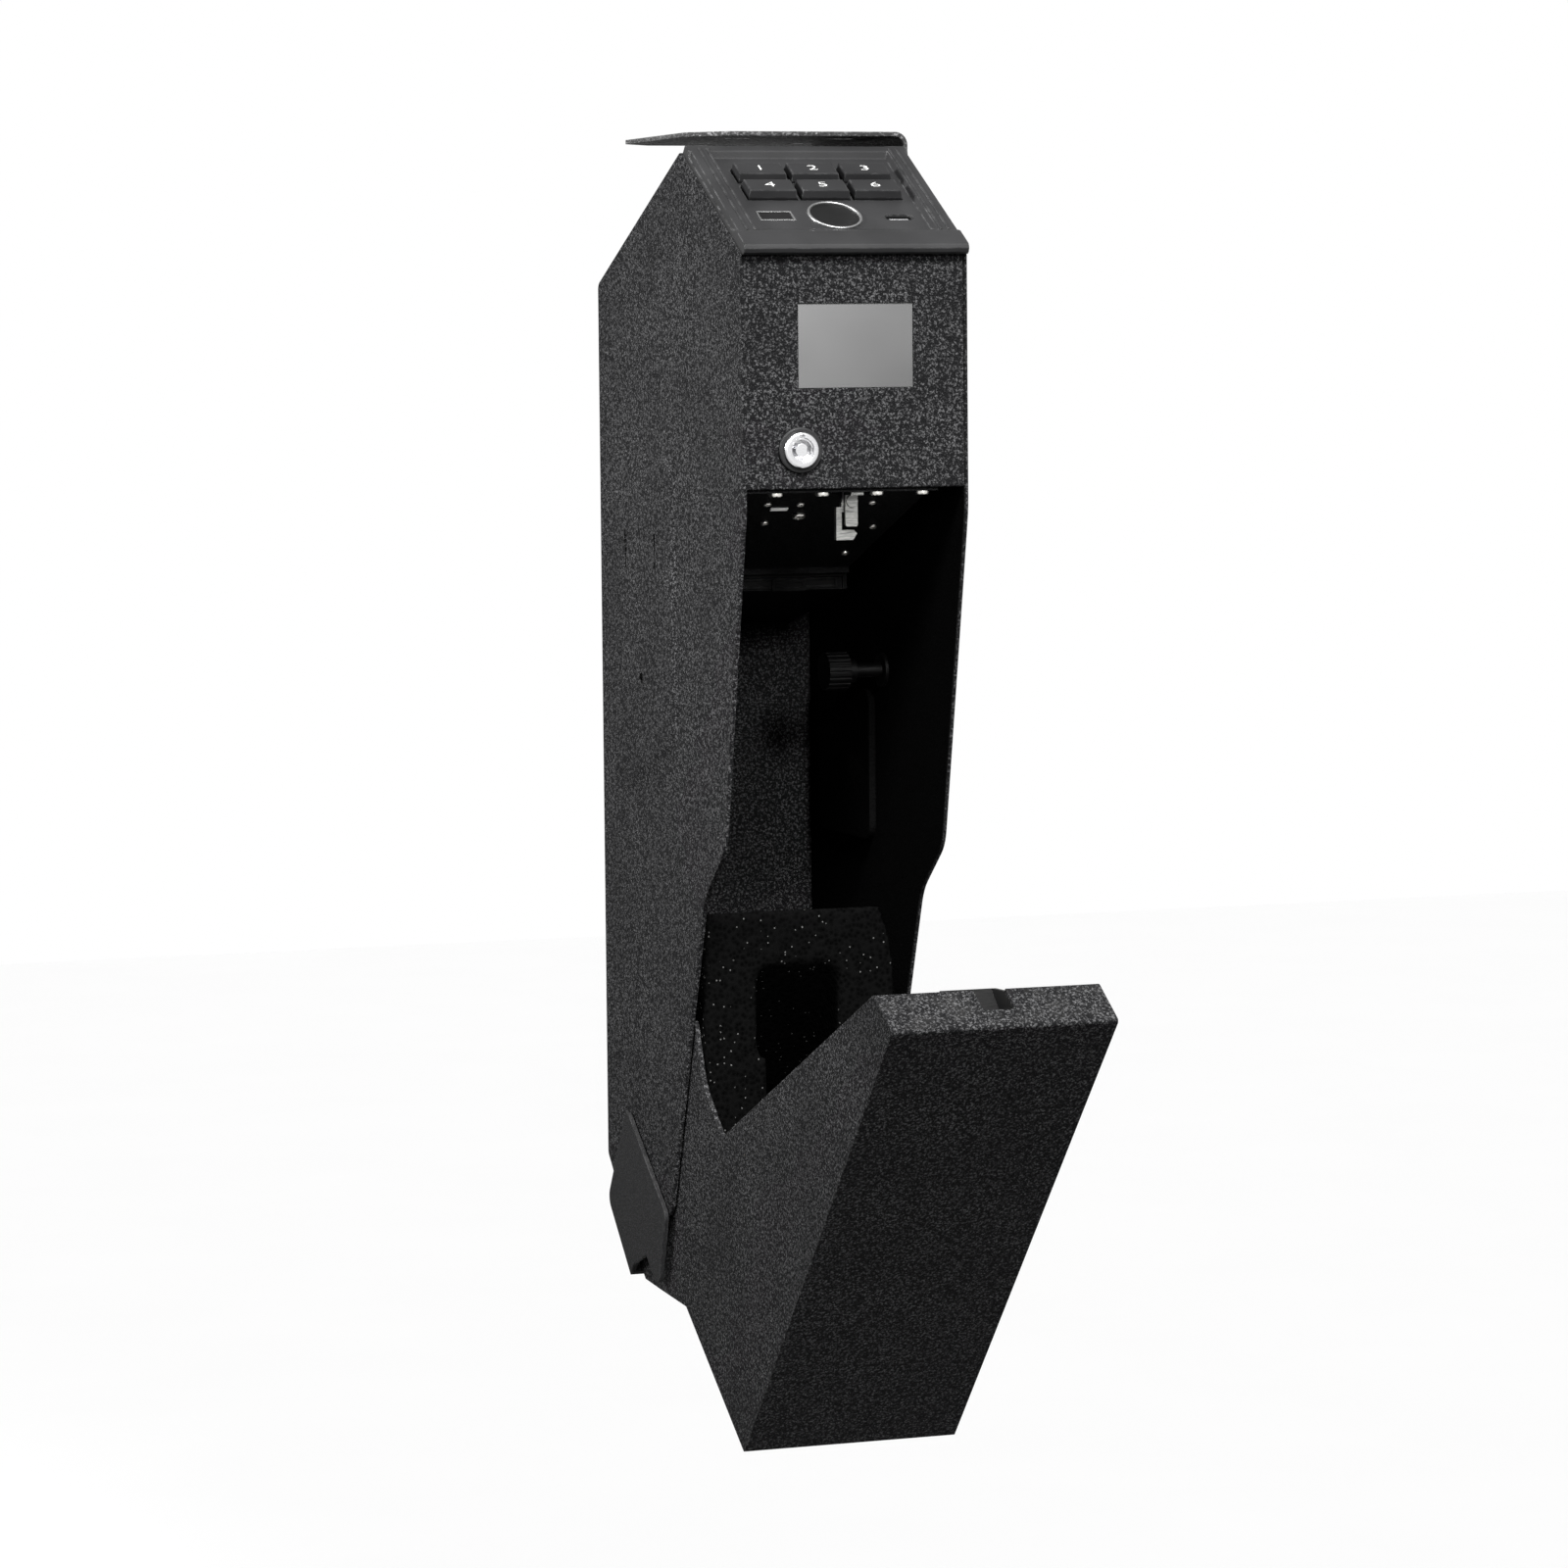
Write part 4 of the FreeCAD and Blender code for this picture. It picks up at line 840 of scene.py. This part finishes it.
@dataclass
class FoamInsert:
    """Holster block in the door, cut from firm foam."""

    voxel: float = 1.3 * MM
    smooth_rounds: int = 6
    smooth_share: float = 0.5
    cell_size: float = 2.6 * MM
    cell_lift: float = 0.35 * MM
    cell_middle: float = 0.75
    weld_gap: float = 0.02 * MM

    def build(self, wardrobe: Wardrobe) -> bpy.types.Object:
        """Model the block on the shape of its CAD solid.

        Args:
            wardrobe: holds the finishes.

        Returns:
            The finished block.
        """
        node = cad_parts["foam_insert"]
        block = node.copy()
        block.data = node.data.copy()
        block.parent = None
        for key in list(block.keys()):
            del block[key]
        block.name = "foam_block"
        bpy.context.scene.collection.objects.link(block)
        weld(block, self.weld_gap)
        remesh = block.modifiers.new("even_skin", "REMESH")
        remesh.mode = "VOXEL"
        remesh.voxel_size = self.voxel
        soften = block.modifiers.new("soft_edges", "SMOOTH")
        soften.iterations = self.smooth_rounds
        soften.factor = self.smooth_share
        texture = bpy.data.textures.new("cut_cells", "CLOUDS")
        texture.noise_scale = self.cell_size
        lift = block.modifiers.new("cut_surface", "DISPLACE")
        lift.texture = texture
        lift.texture_coords = "LOCAL"
        lift.strength = self.cell_lift
        lift.mid_level = self.cell_middle
        apply_modifiers(block)
        smooth(block, angle_deg=60.0)
        wardrobe.wear(block, "flecked_foam")
        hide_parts("foam_insert")
        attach(block, "door")
        return block


@dataclass
class HingeSprings:
    """Two torsion springs wound round the hinge rod."""

    wire: float = 0.75 * MM
    coil_radius: float = 4.4 * MM
    turns: int = 8
    starts: tuple = (-36.0, 22.0)
    length: float = 13.0 * MM
    wire_sides: int = 12
    steps_in_turn: int = 24
    weld_gap: float = 0.001 * MM

    def build(self, wardrobe: Wardrobe) -> bpy.types.Object:
        """Wind one spring, copy it, and hang the pair on the rod.

        Args:
            wardrobe: holds the finishes.

        Returns:
            The joined pair.
        """
        clear_selection()
        bpy.ops.mesh.primitive_circle_add(vertices=self.wire_sides, radius=self.wire,
                                          fill_type="NOTHING",
                                          location=(0.0, 0.0, self.coil_radius))
        coil = take_new("hinge_springs")
        settle(coil)
        wind = coil.modifiers.new("wind", "SCREW")
        wind.axis = "X"
        wind.angle = 2 * math.pi * self.turns
        wind.steps = self.steps_in_turn * self.turns
        wind.render_steps = wind.steps
        wind.screw_offset = self.length
        wind.use_merge_vertices = False
        apply_modifiers(coil)
        weld(coil, self.weld_gap)
        bpy.ops.object.mode_set(mode="EDIT")
        bpy.ops.mesh.select_all(action="DESELECT")
        bpy.ops.mesh.select_mode(type="EDGE")
        bpy.ops.mesh.select_non_manifold()
        bpy.ops.mesh.edge_face_add()
        bpy.ops.mesh.select_all(action="SELECT")
        bpy.ops.mesh.normals_make_consistent(inside=False)
        leave_edit()
        smooth(coil, angle_deg=50.0)
        spots = [Matrix.Translation(HINGE + Vector((start * MM, 0.0, 0.0)))
                 for start in self.starts]
        pair = join_copies(coil, spots, "hinge_springs")
        wardrobe.wear(pair, "zinc_steel")
        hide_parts("door_springs")
        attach(pair, "case")
        return pair


@dataclass
class KeyNumerals:
    """Pale printed digits on the six key caps."""

    height: float = 4.6 * MM
    thickness: float = 0.06 * MM
    cap_top: float = 5.02
    first_row_v: float = 50.9
    row_pitch: float = 12.0
    widening: float = 1.8
    thinning: float = 0.06 * MM

    def build(self, wardrobe: Wardrobe) -> list[bpy.types.Object]:
        """Print one digit on each cap.

        Args:
            wardrobe: holds the finishes.

        Returns:
            The digits.
        """
        ink = Moulded("key_ink", colour=(0.11, 0.11, 0.108), grain=3000.0, depth=0.03,
                      specular=0.1)
        wardrobe.made["key_ink"] = ink.build(wardrobe.effects)
        digits = []
        for number in KEY_NUMBERS:
            low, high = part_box("key_%d" % number)
            row = (number - 1) // KEYS_IN_ROW
            centre_u = ((low.x + high.x) / 2 + CASE_ORIGIN.x) / MM
            centre_v = self.first_row_v - self.row_pitch * row
            clear_selection()
            bpy.ops.object.text_add()
            text = bpy.context.active_object
            text.data.body = str(number)
            text.data.size = self.height
            text.data.align_x = "CENTER"
            text.data.align_y = "CENTER"
            text.data.extrude = self.thickness
            text.data.offset = -self.thinning
            text.data.resolution_u = 6
            activate(text)
            bpy.ops.object.convert(target="MESH")
            digit = take_new("numeral_%d" % number)
            wide = Matrix.Diagonal((self.widening, 1.0, 1.0, 1.0))
            digit.data.transform(deck_seat(centre_u, centre_v, self.cap_top) @ wide)
            wardrobe.wear(digit, "key_ink")
            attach(digit, "key_%d" % number)
            digits.append(digit)
        return digits


@dataclass
class BezelBeads:
    """Raised beads along the side rails of the keypad bezel."""

    width: float = 0.9 * MM
    height: float = 0.7 * MM
    length: float = 58.0 * MM
    rounding: float = 0.3 * MM
    middle_v: float = 38.0
    rail_top: float = 4.0
    places_u: tuple = (-35.4, -32.6, 33.2, 35.8)

    def build(self, wardrobe: Wardrobe) -> bpy.types.Object:
        """Model one round-topped bead and set a copy at each place.

        Args:
            wardrobe: holds the finishes.

        Returns:
            The joined beads.
        """
        clear_selection()
        bpy.ops.mesh.primitive_cube_add(size=1.0)
        bead = take_new("bezel_beads")
        bead.scale = (self.width, self.length, self.height)
        settle(bead)
        round_off = bead.modifiers.new("round_off", "BEVEL")
        round_off.width = self.rounding
        round_off.segments = 4
        apply_modifiers(bead)
        smooth(bead, angle_deg=50.0)
        spots = [deck_seat(u, self.middle_v, self.rail_top) for u in self.places_u]
        beads = join_copies(bead, spots, "bezel_beads")
        wardrobe.wear(beads, "bezel_plastic")
        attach(beads, "case")
        return beads


@dataclass
class TrayScrews:
    """Pan-head screws that hold the electronics tray, with cross recesses."""

    head_radius: float = 2.35 * MM
    head_height: float = 1.35 * MM
    shank_radius: float = 0.95 * MM
    shank_length: float = 3.6 * MM
    rounding: float = 0.65 * MM
    recess: tuple = (2.6 * MM, 0.55 * MM, 1.1 * MM)
    small_share: float = 0.6
    facing: float = 0.9
    fold_y: float = 11.0
    rear_y: float = 92.0
    front_z: float = -1.2
    rear_z: float = -30.5
    wide: tuple = ((-26.7, 4.8), (-10.3, 4.8), (9.0, 4.8), (25.2, 4.8), (-8.5, 33.8))
    small: tuple = ((-23.7, 22.1), (-11.7, 22.8), (13.8, 22.2), (-18.3, 41.2), (23.1, 47.3),
                    (22.8, 75.0))

    def seat(self, x: float, y: float) -> Matrix:
        """Return where a screw's head meets the tray, head pointing down."""
        if y < self.fold_y:
            return Matrix.Translation(place(x, y, self.front_z))
        slope = (self.rear_z - self.front_z) / (self.rear_y - self.fold_y)
        z = self.front_z + slope * (y - self.fold_y)
        return Matrix.Translation(place(x, y, z)) @ Matrix.Rotation(math.atan(slope), 4, "X")

    def build(self, wardrobe: Wardrobe) -> bpy.types.Object:
        """Model one screw and set a copy at each place.

        Args:
            wardrobe: holds the finishes.

        Returns:
            The joined screws.
        """
        clear_selection()
        bpy.ops.mesh.primitive_cylinder_add(vertices=24, radius=self.head_radius,
                                            depth=self.head_height,
                                            location=(0, 0, -self.head_height / 2))
        screw = take_new("pan_head_screws")
        settle(screw)
        select_faces(screw, lambda face: face.normal.z < -self.facing)
        bpy.ops.mesh.bevel(offset=self.rounding, segments=4, affect="EDGES")
        leave_edit()
        select_faces(screw, lambda face: face.normal.z > self.facing)
        bpy.ops.mesh.inset(thickness=self.head_radius - self.shank_radius)
        bpy.ops.mesh.extrude_region_move(
            TRANSFORM_OT_translate={"value": (0, 0, self.shank_length)})
        leave_edit()
        for turn in (0.0, 90.0):
            clear_selection()
            bpy.ops.mesh.primitive_cube_add(size=1.0, location=(0, 0, -self.head_height),
                                            rotation=(0, 0, math.radians(turn)))
            cutter = bpy.context.active_object
            cutter.scale = self.recess
            settle(cutter)
            cut = screw.modifiers.new("recess", "BOOLEAN")
            cut.operation = "DIFFERENCE"
            cut.solver = "EXACT"
            cut.object = cutter
            apply_modifiers(screw)
            bpy.data.objects.remove(cutter)
        smooth(screw, angle_deg=30.0)
        spots = [self.seat(x, y) for x, y in self.wide]
        small = Matrix.Scale(self.small_share, 4)
        spots += [self.seat(x, y) @ small for x, y in self.small]
        screws = join_copies(screw, spots, "pan_head_screws")
        wardrobe.wear(screws, "nickel_plate")
        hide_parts("tray_screws")
        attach(screws, "case")
        return screws


@dataclass
class Studio:
    """Plain pale floor, soft lights and the camera."""

    azimuth: float = 19.112
    elevation: float = 4.793
    roll: float = 0.525
    distance: float = 1.762
    target: tuple = (-0.06775, -0.11459, 0.00214)
    focal_length: float = 121.48
    sensor_width: float = 36.0
    clip_range: tuple = (0.05, 50.0)
    floor_drop: float = 1.6
    floor_size: float = 30.0

    def camera(self) -> bpy.types.Object:
        """Add the camera and make it the scene's own."""
        yaw, pitch = math.radians(self.azimuth), math.radians(self.elevation)
        forward = Vector((math.cos(pitch) * math.sin(yaw), math.cos(pitch) * math.cos(yaw),
                          -math.sin(pitch)))
        right = Vector((math.cos(yaw), -math.sin(yaw), 0.0))
        up = right.cross(forward)
        tilt = Matrix.Rotation(math.radians(self.roll), 3, forward)
        right, up = tilt @ right, tilt @ up
        clear_selection()
        bpy.ops.object.camera_add()
        camera = bpy.context.active_object
        camera.name = "studio_camera"
        camera.data.lens = self.focal_length
        camera.data.sensor_width = self.sensor_width
        camera.data.clip_start, camera.data.clip_end = self.clip_range
        camera.data.dof.use_dof = False
        spot = Vector(self.target) - forward * self.distance
        turn = Matrix((right, up, -forward)).transposed().to_4x4()
        camera.matrix_world = Matrix.Translation(spot) @ turn
        bpy.context.scene.camera = camera
        return camera

    @staticmethod
    def area(name: str, aim: Vector, offset: tuple, size: float, power: float,
             spread: float) -> None:
        """Add one soft square light.

        Args:
            name: the light's name.
            aim: the point that it faces.
            offset: where it stands, from that point, in metres.
            size: side of the square in metres.
            power: its power in watts.
            spread: full angle of its beam in degrees.
        """
        spot = aim + Vector(offset)
        clear_selection()
        bpy.ops.object.light_add(type="AREA", location=spot)
        light = bpy.context.active_object
        light.name = name
        light.data.shape = "SQUARE"
        light.data.size = size
        light.data.energy = power
        light.data.spread = math.radians(spread)
        light.rotation_euler = (aim - spot).to_track_quat("-Z", "Y").to_euler()

    def lights(self) -> None:
        """Set the side, front and inner lights and the white surround."""
        back_wall = place(0.0, 157.0, -105.0)
        left_side = place(-40.0, 60.0, 60.0)
        self.area("left_light", left_side, (-2.1, 0.2, 0.9), size=0.5, power=7.6, spread=17.0)
        self.area("front_light", Vector(self.target), (-0.15, -1.45, 1.8), size=0.7,
                  power=23.5, spread=25.0)
        self.area("inner_light", back_wall, (-0.12, -2.1, 0.75), size=0.8, power=4.2,
                  spread=12.0)
        world = bpy.data.worlds.new("white_surround")
        world.use_nodes = True
        world.node_tree.nodes["Background"].inputs["Color"].default_value = (1, 1, 1, 1)
        world.node_tree.nodes["Background"].inputs["Strength"].default_value = 1.0
        bpy.context.scene.world = world
        bpy.context.scene.view_settings.view_transform = "Standard"

    def floor(self) -> None:
        """Lay the pale floor well under the hanging safe."""
        low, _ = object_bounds()
        clear_selection()
        bpy.ops.mesh.primitive_plane_add(size=self.floor_size,
                                         location=(0, 0, low.z - self.floor_drop))
        floor = take_new("pale_floor")
        settle(floor)
        material, tree, surface = start_material("pale_floor")
        mottle = tree.node("TexNoise", Scale=3.0, Detail=2.0)
        tree.link(tree.node("TexCoord").outputs["Object"], mottle.inputs["Vector"])
        tree.link(tree.mix(mottle.outputs["Fac"], grey(0.97), grey(0.99)),
                  surface.inputs["Base Color"])
        surface.inputs["Roughness"].default_value = 0.9
        floor.data.materials.append(material)
        floor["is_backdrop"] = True


def main() -> None:
    """Build everything in order."""
    logging.basicConfig(level=logging.INFO, format="%(message)s")
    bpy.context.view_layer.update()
    studio = Studio()
    studio.camera()
    wardrobe = Wardrobe()
    wardrobe.dress_nodes()
    for maker in (FoamInsert(), HingeSprings(), KeyNumerals(), BezelBeads(), TrayScrews()):
        made = maker.build(wardrobe)
        for piece in made if isinstance(made, list) else [made]:
            LOG.info("made %s", piece.name)
    studio.lights()
    studio.floor()


if __name__ == "__main__":
    main()
